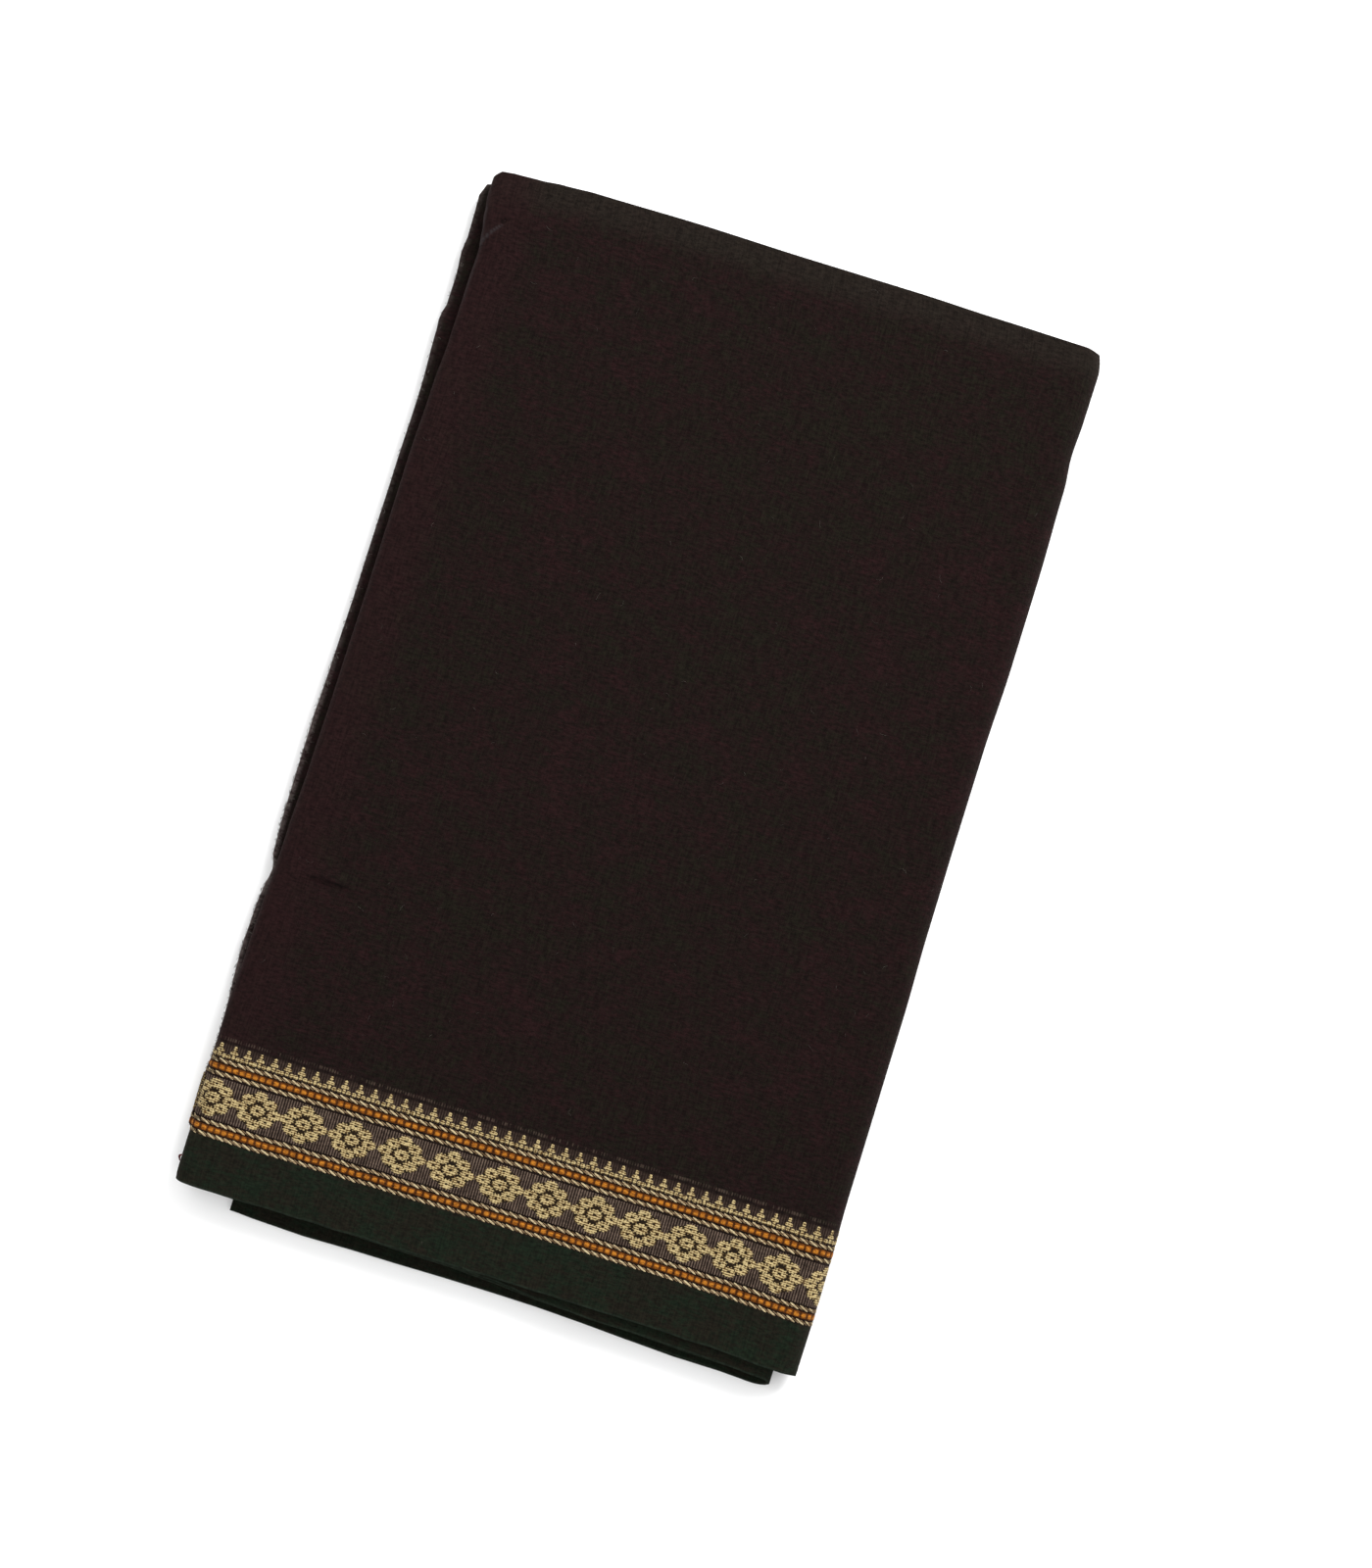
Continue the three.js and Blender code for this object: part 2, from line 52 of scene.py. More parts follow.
packet = {  # mm, from the lower left corner of the top stretch
    "clothLength": 5500,
    "clothWidth": 1158,
    "order": [16, 1, 8, 9, 12, 5, 4, 13, 14, 3, 6, 11, 10, 7, 2, 15],  # places from the top, along the cloth
    "stretches": 16,
    "wall": 1.1,
    "pitch": 1.4,
    "outerSlack": 7.2,
    "leafThickness": 0.34,
    "tail": 40,  # the outer stretch is a piece of its own as far as this into place 8
    "nestCentre": 20.05,  # centres of the inner right turns, in from the right side
    "lean": 4.4,  # how much further in the lowest inner turns end
    "leftNest": 0.6,
    "lowestLeft": 0.3,  # how much further out the two folds under the lower ones lie
    "underLeft": 3,
    "endLeft": 30.7,
    "leftFoldFront": 1.5,
    "edgeFade": 100,
    "droop": 1.7,  # how far the stretches under the top bend down in front of the stack
    "droopReach": 7,
    "overhang": 0.13,  # and how much more for each mm in front of it
    "drooping": (0.5, 0.9),  # the heights, as shares of the stack's, between which that sets in
    "topStretch": (0.93, 0.96),  # and over which it ends again
    "curling": (0.84, 0.93),
    "creased": (0.9, 0.98),
    "patternRoom": 0.2,  # the cloth lies this much off the ground, on its raised pattern
    "leftEdge": [
        (0, -1.6), (8, -2.2), (24, -2.2), (34, -2.1), (58, -2.0), (72, -2.1), (100, -2.3), (130, -1.4),
        (160, -0.7), (178, 0.3), (200, 0.7), (240, 1.9), (282, 2.7), (347, 3.5), (410, 3.8), (454, 5),
        (479, 6.3), (512, 6.7), (531, 7.3), (541, 6.2), (552, 4.4), (562, 3.3), (579, 3.6),
    ],
    "rightEdge": [
        (0, 0.6), (30, 0.8), (60, 0.5), (100, -0.4), (200, -0.6), (250, -1.5), (300, -1.7),
        (350, -1.6), (400, -0.5), (450, -0.5), (500, -1.4), (520, -3), (540, -2.2), (566, -2),
        (574, -3.2), (579, -6),
    ],
    "lowerLeftEdge": [
        (0, 2), (24, 0), (30, -0.4), (32.5, -4.4), (58, -4.6), (72, -3), (88, -3), (100, -3.2),
        (118, -4.4), (132, -5), (150, -4.4), (165, -3.7), (178, -1), (187, -3.7), (210, -4.5),
        (270, -4.5), (284, -3.7), (347, -2.6), (404, -2), (450, -1.3), (484, -2.4), (492, -3),
        (498, -1.1), (515, -0.9), (530, -1.9), (537, -1), (550, -1.3), (563, -1.7), (568, 0.6),
        (572, 3),
    ],
    "topFront": [
        (0, 1.5), (20, 0.9), (60, 1.2), (180, 1.4), (270, 0.9), (300, 0.2), (340, -1.7), (352, -1.9),
    ],
    "topBack": [
        (4, -4.5), (8, -2.6), (16, -1.9), (28, -1.4), (42, -0.2), (60, 0.7), (120, 1.3), (180, 0.7),
        (240, 0.6), (290, -0.2), (338, -0.7), (345, -1.9), (352, -6),
    ],
    "secondFront": [(10, 3), (150, 0), (230, -4.6), (300, -6.5), (339, -8.4)],
    "endFront": [
        (30, -6.9), (45, -7.9), (62, -8.8), (80, -8.4), (160, -7.7), (213, -8.2), (240, -9.7),
        (260, -11), (300, -11.3), (336, -12.9),
    ],
    "innerBack": 6,
    "lowerBack": 7.5,
}

border = {  # mm from the selvedge to the middle of each woven band, and the repeats along the cloth
    "selvedge": 27.6,
    "twists": [29.3, 36.4, 63.6, 70.8],
    "twistPitch": 5.4,
    "blocks": [32.8, 67.2],
    "blockPitch": 4.06,
    "rosette": 50.0,
    "firstBlock": 0.2,  # how far the first block and the first tooth are off the first rosette
    "firstTooth": -3.5,
    "lowerReach": 14,  # the pattern on the lower folds goes this far past their turns
    "rosettePitch": 26.83,
    "firstRosette": 4.0,  # its centre on the top stretch, from the packet's left line
    # how far the pattern is off its even repeat, by place
    "drift": [
        (-60, 0.9), (4, 0.9), (30, -0.8), (56, -1.5), (82, -1), (111, 0.5), (138, 1.4), (165, 2.6),
        (220, 2.5), (246, 1.8), (273, 1.1), (300, 0.3), (420, 0.2),
    ],
    "teeth": 72.5,
    "toothPitch": 8.07,
    "picots": 83.2,
    "end": 81.8,
    "darkLines": [38.1, 61.7, 72.4],
}


def ease(value, low, high):
    share = min(max((value - low) / (high - low), 0.0), 1.0)
    return share * share * (3 - 2 * share)


def follow(rows, place):  # reads a table of (place, value), easing from row to row
    at = bisect.bisect_left(rows, (place,))
    if at == 0:
        return rows[0][1]
    if at == len(rows):
        return rows[-1][1]
    (a, low), (b, high) = rows[at - 1], rows[at]
    return low + (high - low) * ease(place, a, b)


halfWidth = packet["clothWidth"] / 2
halfWall = packet["wall"] / 2
stackHeight = packet["stretches"] * packet["pitch"] - (packet["pitch"] - packet["wall"])
packetWidth = packet["clothLength"] / packet["stretches"] + packet["outerSlack"]
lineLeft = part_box("end_stretch_field")[0].x / mm - packet["endLeft"]
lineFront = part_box("left_fold_selvedge")[0].y / mm - packet["leftFoldFront"]


def levelOf(place):
    return stackHeight - halfWall - (place - 1) * packet["pitch"]


def rightCentre(place, y):  # where a stretch's flat part ends at the right
    edge = packetWidth + follow(packet["rightEdge"], y)
    if place in (1, packet["stretches"]):
        return edge - halfWall - (levelOf(1) - levelOf(packet["stretches"])) / 2
    return edge - packet["nestCentre"] - packet["lean"] * (1 - levelOf(place) / stackHeight)


def leftCentre(place, y):
    upper = follow(packet["leftEdge"], y) + halfWall + (levelOf(1) - levelOf(8)) / 2
    lower = follow(packet["lowerLeftEdge"], y) + halfWall + (levelOf(9) - levelOf(12)) / 2
    if place in (1, 8):
        return upper
    if place < 8:
        return upper + packet["leftNest"]
    if place in (9, 12):
        return lower
    if place in (10, 11):
        return lower + packet["leftNest"] / 2
    if place in (13, 14):
        return lower - packet["lowestLeft"]
    return packet["endLeft"] if place == 15 else packet["underLeft"]


def planRoute():  # the legs of the cloth's way through the stack, with their lengths along the cloth
    legs, along, middle = [], 0.0, halfWidth / 2
    order = packet["order"]
    for number, place in enumerate(order):
        heading = 1 if number % 2 == 0 else -1
        flat = rightCentre(place, middle) - leftCentre(place, middle)
        leg = {"place": place, "to": place, "heading": heading, "radius": 0}
        legs.append(leg | {"start": along, "end": along + flat})
        along += flat
        if number + 1 < len(order):
            after = order[number + 1]
            radius = abs(levelOf(after) - levelOf(place)) / 2
            turn = math.pi * radius
            leg = {"place": place, "to": after, "heading": heading, "radius": radius}
            legs.append(leg | {"start": along, "end": along + turn})
            along += turn
    return legs


route = planRoute()
routeStarts = [leg["start"] for leg in route]
clothEnd = route[-1]["end"]
topLeg = route[2]
leftTurns = [leg for leg in route if leg["radius"] and leg["heading"] < 0 and leg["place"] in (9, 13)]
print("route planned,", round(clothEnd), "mm of cloth")


def legAt(along):
    leg = route[max(bisect.bisect_right(routeStarts, along) - 1, 0)]
    return leg, min(max((along - leg["start"]) / (leg["end"] - leg["start"]), 0.0), 1.0)


def routeAt(along, y):  # x, level and the way the cloth's face looks, at one distance along the cloth
    leg, share = legAt(along)
    heading, radius = leg["heading"], leg["radius"]
    if not radius:
        left, right = leftCentre(leg["place"], y), rightCentre(leg["place"], y)
        x = left + (right - left) * (share if heading > 0 else 1 - share)
        return x, levelOf(leg["place"]), 0.0, -heading
    centreOf = rightCentre if heading > 0 else leftCentre
    centre = centreOf(leg["place"], y) * (1 - share) + centreOf(leg["to"], y) * share
    rising = 1 if levelOf(leg["to"]) > levelOf(leg["place"]) else -1
    middle = (levelOf(leg["to"]) + levelOf(leg["place"])) / 2
    angle = math.pi * (share - 0.5)
    x = centre + heading * radius * math.cos(angle)
    level = middle + rising * radius * math.sin(angle)
    outward = heading * rising
    return x, level, outward * heading * math.cos(angle), outward * rising * math.sin(angle)


edges = {  # how the stretches' front and back edges wander and step back, mm
    "length": 70,
    "topFine": 0.5,
    "topLeaf": 1.4,
    "leaf": 2.2,
    "leafStep": 0.5,
    "fine": 0.6,
    "hiddenFront": 2.2,
    "hiddenStep": 0.7,
    "hidden": 1.2,
    "backShare": 0.6,
    "backStep": 0.8,
    "back": 0.5,
}


def unevenness(place, x, seed):  # a slow wander, different for each stretch
    return noise.noise(Vector((x / edges["length"], place * 3.1, seed)))


def frontOf(place, x, innerLeaf):  # how far a stretch's selvedge lies in from the packet's front line
    if place in (1, packet["stretches"]):
        base = follow(packet["topFront"], x) + edges["topFine"] * unevenness(place, x * 5, 8)
        return base + innerLeaf * (edges["leafStep"] + edges["topLeaf"] * unevenness(place, x, 4))
    if place == 2:
        base = follow(packet["secondFront"], x)
    elif place == packet["stretches"] - 1:
        base = follow(packet["endFront"], x)
    else:
        base = edges["hiddenFront"] + (place % 3) * edges["hiddenStep"]
        base += edges["hidden"] * unevenness(place, x, 1)
    base += innerLeaf * (edges["leafStep"] + edges["leaf"] * unevenness(place, x, 4))
    return base + edges["fine"] * unevenness(place, x * 3, 8)


def backOf(place, x):
    if place in (1, packet["stretches"]):
        return follow(packet["topBack"], x)
    base = packet["innerBack"] if place <= 8 else packet["lowerBack"]
    back = follow(packet["topBack"], x) * edges["backShare"] - base
    return back - (place % 2) * edges["backStep"] + edges["back"] * unevenness(place, x, 2)


surface = {  # how the stack sinks, swells and curls, in mm
    "pressDepth": 0.014,  # a pressed line across the packet, as a share of its height
    "pressMiddle": 0.3,  # how much of it is left half way along
    "pressPlace": 178,
    "pressWidth": 7,
    "edgeSink": 0.05,  # the front and the back are a little lower
    "frontReach": 30,
    "backReach": 14,
    "swells": [((120, 150), 5, 0.5), ((75, 110), 9, 0.28)],  # length and width, seed and height
    "curlRise": 0.42,
    "curlWander": 0.5,
    "curlLength": 16,
    "curlReach": 2.4,
}


def heightShare(x, y):  # how much of its full height the stack has at a point
    look = surface
    across = abs(x / packetWidth - 0.5) * 2
    press = look["pressDepth"] * (look["pressMiddle"] + (1 - look["pressMiddle"]) * across ** 2)
    press *= math.exp(-(((y - look["pressPlace"]) / look["pressWidth"]) ** 2))
    front = look["edgeSink"] * math.exp(-max(y, 0) / look["frontReach"])
    back = look["edgeSink"] * math.exp(-max(halfWidth - y, 0) / look["backReach"])
    return 1 - front - back - press


creasePaintedLightWidth = 0.9  # mm
creases = [  # in mm: from and to, bow, height or depth, the widths of the steep and the soft side, and the tone: painted highlight above 0, painted shade below 0
    {"from": (7, 534.5), "to": (17.4, 549.4), "bow": 1, "rise": 1.5, "steep": 1.1, "soft": 8.0, "tone": 1},
    {"from": (15.4, 549.2), "to": (17.6, 551.6), "bow": 0, "rise": -1.3, "steep": 1, "soft": 1, "tone": -2.4},
    # the next two lines have no height, only a painted highlight along the left fold's edge
    {"from": (7.6, 534), "to": (4.9, 560), "bow": 0.6, "rise": 0, "steep": 1.0, "soft": 1.0, "tone": 0.7},
    {"from": (7.6, 500), "to": (8.0, 534), "bow": 0, "rise": 0, "steep": 1.0, "soft": 1.0, "tone": 0.6},
    {"from": (44, 179.5), "to": (19, 181), "bow": -0.8, "rise": 1.5, "steep": 1.4, "soft": 4.0, "tone": -1},
    {"from": (1, 178.5), "to": (20, 180.5), "bow": -0.6, "rise": 0.3, "steep": 1.2, "soft": 4.0},
    {"from": (60, 300), "to": (120, 322), "bow": 3.0, "rise": 0.16, "steep": 3.0, "soft": 7.0},
    {"from": (150, 196), "to": (196, 190), "bow": 2.0, "rise": 0.14, "steep": 2.4, "soft": 7.0},
    {"from": (210, 420), "to": (300, 446), "bow": -4.0, "rise": 0.16, "steep": 4.0, "soft": 8.0},
    {"from": (118, 470), "to": (168, 512), "bow": 3.0, "rise": 0.15, "steep": 3.0, "soft": 8.0},
    {"from": (262, 238), "to": (330, 252), "bow": 3.0, "rise": 0.14, "steep": 3.0, "soft": 6.0},
    {"from": (300, 118), "to": (346, 128), "bow": 2.0, "rise": 0.2, "steep": 2.0, "soft": 6.0},
    {"from": (318, 498), "to": (349, 486), "bow": 2.0, "rise": 0.3, "steep": 1.8, "soft": 6.0},
    {"from": (326, 536), "to": (350, 520), "bow": 1.5, "rise": 0.26, "steep": 1.6, "soft": 5.0},
    {"from": (40, 60), "to": (70, 96), "bow": 1.5, "rise": 0.12, "steep": 2.6, "soft": 6.0},
    {"from": (214, 8), "to": (228, 27), "bow": 1.0, "rise": 0.16, "steep": 1.8, "soft": 5.0},
    {"from": (96, 6), "to": (122, 24), "bow": 1.4, "rise": 0.14, "steep": 2.2, "soft": 6.0},
]


def creasesNear(x, y):  # the creases that reach a point, how far off them it is, and how full they are there
    for crease in creases:
        (ax, ay), (bx, by) = crease["from"], crease["to"]
        length = math.hypot(bx - ax, by - ay)
        ux, uy = (bx - ax) / length, (by - ay) / length
        along = ((x - ax) * ux + (y - ay) * uy) / length
        if not -0.25 < along < 1.25:
            continue
        away = (y - ay) * ux - (x - ax) * uy - crease["bow"] * (1 - (2 * along - 1) ** 2)
        if abs(away) < 3 * max(crease["steep"], crease["soft"]):
            yield crease, away, ease(along, -0.2, 0.25) * (1 - ease(along, 0.7, 1.2))


def creaseHeight(x, y):
    total = 0.0
    for crease, away, ends in creasesNear(x, y):
        width = crease["steep"] if away > 0 else crease["soft"]
        total += crease["rise"] * ends * math.exp(-((away / width) ** 2))
    return total


def creasePaintedLight(x, y):  # painted light: above 0 a painted highlight along a crease, below 0 a painted shade
    total = 0.0
    for crease, away, ends in creasesNear(x, y):
        total += crease.get("tone", 0) * ends * math.exp(-((away / creasePaintedLightWidth) ** 2))
    return min(max(total, -1), 1)


def swell(x, y):  # broad soft swells of the whole stack
    total = 0.0
    for (length, width), seed, height in surface["swells"]:
        total += height * noise.noise(Vector((x / length, y / width, seed)))
    return total


def curl(x, nominal):  # the front edges of the upper stretches lift a little
    wander = surface["curlWander"] * noise.noise(Vector((x / surface["curlLength"], 3, 7)))
    return (surface["curlRise"] + wander) * math.exp(-nominal / surface["curlReach"])


def foldPoint(along, across, lift=0.0):  # where a point of the flat cloth lies in the packet, in m
    bend = halfWall * math.pi / 2
    if across < halfWidth - bend:
        nominal, side = across, 1.0
    elif across > halfWidth + bend:
        nominal, side = packet["clothWidth"] - across, -1.0
    else:
        angle = (across - halfWidth + bend) / halfWall
        nominal, side = halfWidth - bend + (halfWall + lift) * math.sin(angle), math.cos(angle)
    leg, share = legAt(along)
    x = routeAt(along, min(nominal, halfWidth))[0]
    turned = ease(share, 0, 1) if leg["radius"] else 0.0
    inner = 0.5 - side / 2
    front = frontOf(leg["place"], x, inner) * (1 - turned) + frontOf(leg["to"], x, inner) * turned
    back = backOf(leg["place"], x) * (1 - turned) + backOf(leg["to"], x) * turned
    fade = packet["edgeFade"]
    y = nominal + front * (1 - ease(nominal, 0, fade)) + back * ease(nominal, halfWidth - fade, halfWidth)
    x, level, acrossNormal, upNormal = routeAt(along, y)
    out = (halfWall + lift) * side
    x += out * acrossNormal
    height = level + out * upNormal
    share = height / stackHeight
    z = height * heightShare(x, y) + swell(x, y) * share ** 2
    z += curl(x, nominal) * ease(share, *packet["curling"])
    droop = packet["droop"] * (1 - ease(y, -1, packet["droopReach"])) + packet["overhang"] * max(1 - y, 0)
    z -= droop * ease(share, *packet["drooping"]) * (1 - ease(share, *packet["topStretch"]))
    if share > packet["creased"][0] and side > 0:
        z += creaseHeight(x, y) * ease(share, *packet["creased"])
    room = packet["patternRoom"]
    z = room + max(z, -lift) * (1 - room / stackHeight)
    return Vector(((x + lineLeft) * mm, (y + lineFront) * mm, max(z, 0.0) * mm))


def layInFold(bm, name, material):  # flat cloth in mm becomes a finished piece in the packet
    uvLayer = bm.loops.layers.uv.new("cloth")
    for face in bm.faces:
        face.smooth = True
        for loop in face.loops:
            loop[uvLayer].uv = (loop.vert.co.x * mm, loop.vert.co.y * mm)
    for vert in bm.verts:
        vert.co = foldPoint(*vert.co)
    bmesh.ops.reverse_faces(bm, faces=bm.faces)  # the fold turns left into right
    mesh = bpy.data.meshes.new(name)
    bm.to_mesh(mesh)
    bm.free()
    piece = bpy.data.objects.new(name, mesh)
    bpy.context.scene.collection.objects.link(piece)
    mesh.materials.append(material)
    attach(piece, "root")
    return piece


def stepsBetween(start, end, spacing):  # even steps, without the last
    count = max(round((end - start) / spacing), 1)
    return [start + (end - start) * step / count for step in range(count)]


def clothSheet(columns, rows):  # a grid whose lines lie at the given places along and across the cloth
    bm = bmesh.new()
    bmesh.ops.create_grid(bm, x_segments=len(columns) - 1, y_segments=len(rows) - 1, size=0.5)
    for vert in bm.verts:
        column = round((vert.co.x + 0.5) * (len(columns) - 1))
        row = round((vert.co.y + 0.5) * (len(rows) - 1))
        vert.co = (columns[column], rows[row], 0)
    return bm


# Shared shader groups

def newGroup(name, inputs, outputs):
    tree = bpy.data.node_groups.new(name, "ShaderNodeTree")
    for label, kind, default in inputs:
        socket = tree.interface.new_socket(name=label, in_out="INPUT", socket_type=kind)
        if default is not None:
            socket.default_value = default
    for label, kind in outputs:
        tree.interface.new_socket(name=label, in_out="OUTPUT", socket_type=kind)
    return tree, tree.nodes.new("NodeGroupInput"), tree.nodes.new("NodeGroupOutput")


def addMath(tree, operation, first, second=None):
    node = tree.nodes.new("ShaderNodeMath")
    node.operation = operation
    for socket, value in zip(node.inputs, (first, second)):
        if value is None:
            continue
        if isinstance(value, (int, float)):
            socket.default_value = value
        else:
            tree.links.new(value, socket)
    return node.outputs[0]


def addNoise(tree, vector, scale, detail=2.0, roughness=0.5):
    node = tree.nodes.new("ShaderNodeTexNoise")
    node.inputs["Scale"].default_value = scale
    node.inputs["Detail"].default_value = detail
    node.inputs["Roughness"].default_value = roughness
    tree.links.new(vector, node.inputs["Vector"])
    return node.outputs["Fac"]


def addStretch(tree, vector, scale):
    node = tree.nodes.new("ShaderNodeMapping")
    node.inputs["Scale"].default_value = scale
    tree.links.new(vector, node.inputs["Vector"])
    return node.outputs["Vector"]


def addMix(tree, factor, first, second):
    node = tree.nodes.new("ShaderNodeMix")
    node.data_type = "RGBA"
    for number, value in ((0, factor), (6, first), (7, second)):  # the factor and the two colours
        socket = node.inputs[number]
        if isinstance(value, (int, float, tuple)):
            socket.default_value = value
        else:
            tree.links.new(value, socket)
    return node.outputs[2]


def addShade(tree, colour, amount):  # a colour made lighter or darker
    node = tree.nodes.new("ShaderNodeVectorMath")
    node.operation = "SCALE"
    tree.links.new(colour, node.inputs["Vector"])
    tree.links.new(amount, node.inputs["Scale"])
    return node.outputs["Vector"]


def addRange(tree, value, low, high, toLow=0.0, toHigh=1.0):
    node = tree.nodes.new("ShaderNodeMapRange")
    node.interpolation_type = "SMOOTHSTEP"
    tree.links.new(value, node.inputs["Value"])
    node.inputs["From Min"].default_value = low
    node.inputs["From Max"].default_value = high
    node.inputs["To Min"].default_value = toLow
    node.inputs["To Max"].default_value = toHigh
    return node.outputs["Result"]


def threadGroup():  # plain weave: the height of the threads and where single threads are thick
    tree, source, result = newGroup(
        "plainWeave",
        [("Cloth", "NodeSocketVector", None), ("Pitch", "NodeSocketFloat", 0.0004)],
        [("Height", "NodeSocketFloat"), ("Warp Slubs", "NodeSocketFloat"), ("Weft Slubs", "NodeSocketFloat")],
    )
    cloth, pitch = source.outputs["Cloth"], source.outputs["Pitch"]
    parts = tree.nodes.new("ShaderNodeSeparateXYZ")
    tree.links.new(cloth, parts.inputs[0])
    turns = addMath(tree, "DIVIDE", math.pi, pitch)
    warp = addMath(tree, "SINE", addMath(tree, "MULTIPLY", parts.outputs["Y"], turns))
    weft = addMath(tree, "SINE", addMath(tree, "MULTIPLY", parts.outputs["X"], turns))
    threads = addMath(tree, "ADD", addMath(tree, "ABSOLUTE", warp), addMath(tree, "ABSOLUTE", weft))
    crossing = addMath(tree, "MULTIPLY", warp, weft)
    crossing = addMath(tree, "MULTIPLY", crossing, 0.3)
    woven = addMath(tree, "ADD", addMath(tree, "MULTIPLY", threads, 0.35), crossing)
    warpSlubs = addNoise(tree, addStretch(tree, cloth, (110, 1150, 1)), 1.0, 3.0, 0.6)
    weftSlubs = addNoise(tree, addStretch(tree, cloth, (1050, 90, 1)), 1.0, 3.0, 0.6)
    slubs = addMath(tree, "MULTIPLY", addMath(tree, "ADD", warpSlubs, weftSlubs), 0.8)
    tree.links.new(addMath(tree, "ADD", woven, slubs), result.inputs["Height"])
    tree.links.new(warpSlubs, result.inputs["Warp Slubs"])
    tree.links.new(weftSlubs, result.inputs["Weft Slubs"])
    return tree


plainWeave = threadGroup()


def newMaterial(name, roughness, sheen, sheenTint):
    material = bpy.data.materials.new(name)
    material.use_nodes = True
    tree = material.node_tree
    shader = tree.nodes["Principled BSDF"]
    shader.inputs["Roughness"].default_value = roughness
    shader.inputs["Specular IOR Level"].default_value = 0.05
    shader.inputs["Sheen Weight"].default_value = sheen
    shader.inputs["Sheen Roughness"].default_value = 0.45
    shader.inputs["Sheen Tint"].default_value = sheenTint
    uv = tree.nodes.new("ShaderNodeUVMap")
    uv.uv_map = "cloth"
    return material, tree, shader, uv.outputs["UV"]


def addWeave(tree, cloth, pitch):
    node = tree.nodes.new("ShaderNodeGroup")
    node.node_tree = plainWeave
    node.inputs["Pitch"].default_value = pitch
    tree.links.new(cloth, node.inputs["Cloth"])
    return node


def addBump(tree, shader, height, distance, strength):
    node = tree.nodes.new("ShaderNodeBump")
    node.inputs["Strength"].default_value = strength
    node.inputs["Distance"].default_value = distance
    tree.links.new(height, node.inputs["Height"])
    tree.links.new(node.outputs["Normal"], shader.inputs["Normal"])


clothLook = {  # linear colours of the yarns
    "maroon": (0.0110, 0.0042, 0.0044, 1),
    "brown": (0.0070, 0.0038, 0.0033, 1),
    "green": (0.0065, 0.0053, 0.0034, 1),
    # painted sheen: lighter and greyer along the lengthwise fold
    "foldPaintedSheen": (0.0099, 0.0076, 0.0058, 1),
    "selvedge": (0.0077, 0.0068, 0.0044, 1),
    "selvedgeLight": (0.0052, 0.0093, 0.0051, 1),
    "selvedgeEdge": (0.0111, 0.0166, 0.0111, 1),
    # painted highlight for the crease ridges
    "creasePaintedHighlight": (0.0230, 0.0190, 0.0200, 1),
    "ground": (0.0130, 0.0075, 0.0059, 1),
    "groundThread": (0.0900, 0.0640, 0.0480, 1),
    "rust": (0.0355, 0.0103, 0.0016, 1),
    "dark": (0.0051, 0.0027, 0.0019, 1),
    "cream": (0.395, 0.310, 0.152, 1),
    "creamDeep": (0.0600, 0.0300, 0.0085, 1),
    "creamShade": (0.0158, 0.0087, 0.0032, 1),
    "orange": (0.400, 0.150, 0.016, 1),
    "orangeDeep": (0.150, 0.0435, 0.0040, 1),
    "twist": (0.474, 0.385, 0.225, 1),
    "twistDeep": (0.213, 0.142, 0.0790, 1),
    "lint": (0.103, 0.0909, 0.0790, 1),
    "lintDark": (0.0237, 0.0174, 0.0158, 1),
    "fuzz": (0.0909, 0.0695, 0.0672, 1),
    "redThread": (0.0592, 0.0063, 0.0063, 1),
    "pitch": 0.00042,
    "meshPitch": (1.45, 0.8),  # mm, of the light threads between the border's figures
}

clothNoises = {  # stretch along and across the cloth, per m, with the detail and roughness of the noise
    "clouds": ((48, 62, 1), 4.0, 0.65),
    "broad": ((7, 9, 1), 2.0, 0.5),
    "flecks": ((175, 460, 1), 5.0, 0.75),
    "thin": ((260, 640, 1), 4.0, 0.8),
    "jitter": ((700, 60, 1), 1.0, 0.5),
    "patches": ((120, 160, 1), 2.0, 0.5),
}
yarnPatchStretch = (270, 820, 1)  # the same, for the thick and thin places in the raised yarn


def bandRamp(tree, fromSelvedge):  # the plain colours of the woven bands, by the distance from the selvedge
    span = border["end"] + 5.6
    ramp = tree.nodes.new("ShaderNodeValToRGB")
    tree.links.new(addMath(tree, "DIVIDE", fromSelvedge, span * mm), ramp.inputs["Fac"])
    ramp.color_ramp.interpolation = "CONSTANT"
    look = clothLook
    bands = [(0, look["selvedge"])]
    for line in border["twists"]:
        bands.append((line - 1.3, look["dark"]))
    for line in border["blocks"]:
        bands.append((line - 1.9, look["rust"]))
        bands.append((line + 1.9, look["dark"]))
    for line in border["darkLines"]:
        bands.append((line - 0.4, look["dark"]))
        bands.append((line + 0.4, look["ground"]))
    bands.append((border["teeth"] + 7.8, look["brown"]))
    bands.sort()
    elements = ramp.color_ramp.elements
    elements[0].color = bands[0][1]
    elements.remove(elements[1])
    for place, colour in bands[1:]:
        elements.new(place / span).color = colour
    return ramp.outputs["Color"]


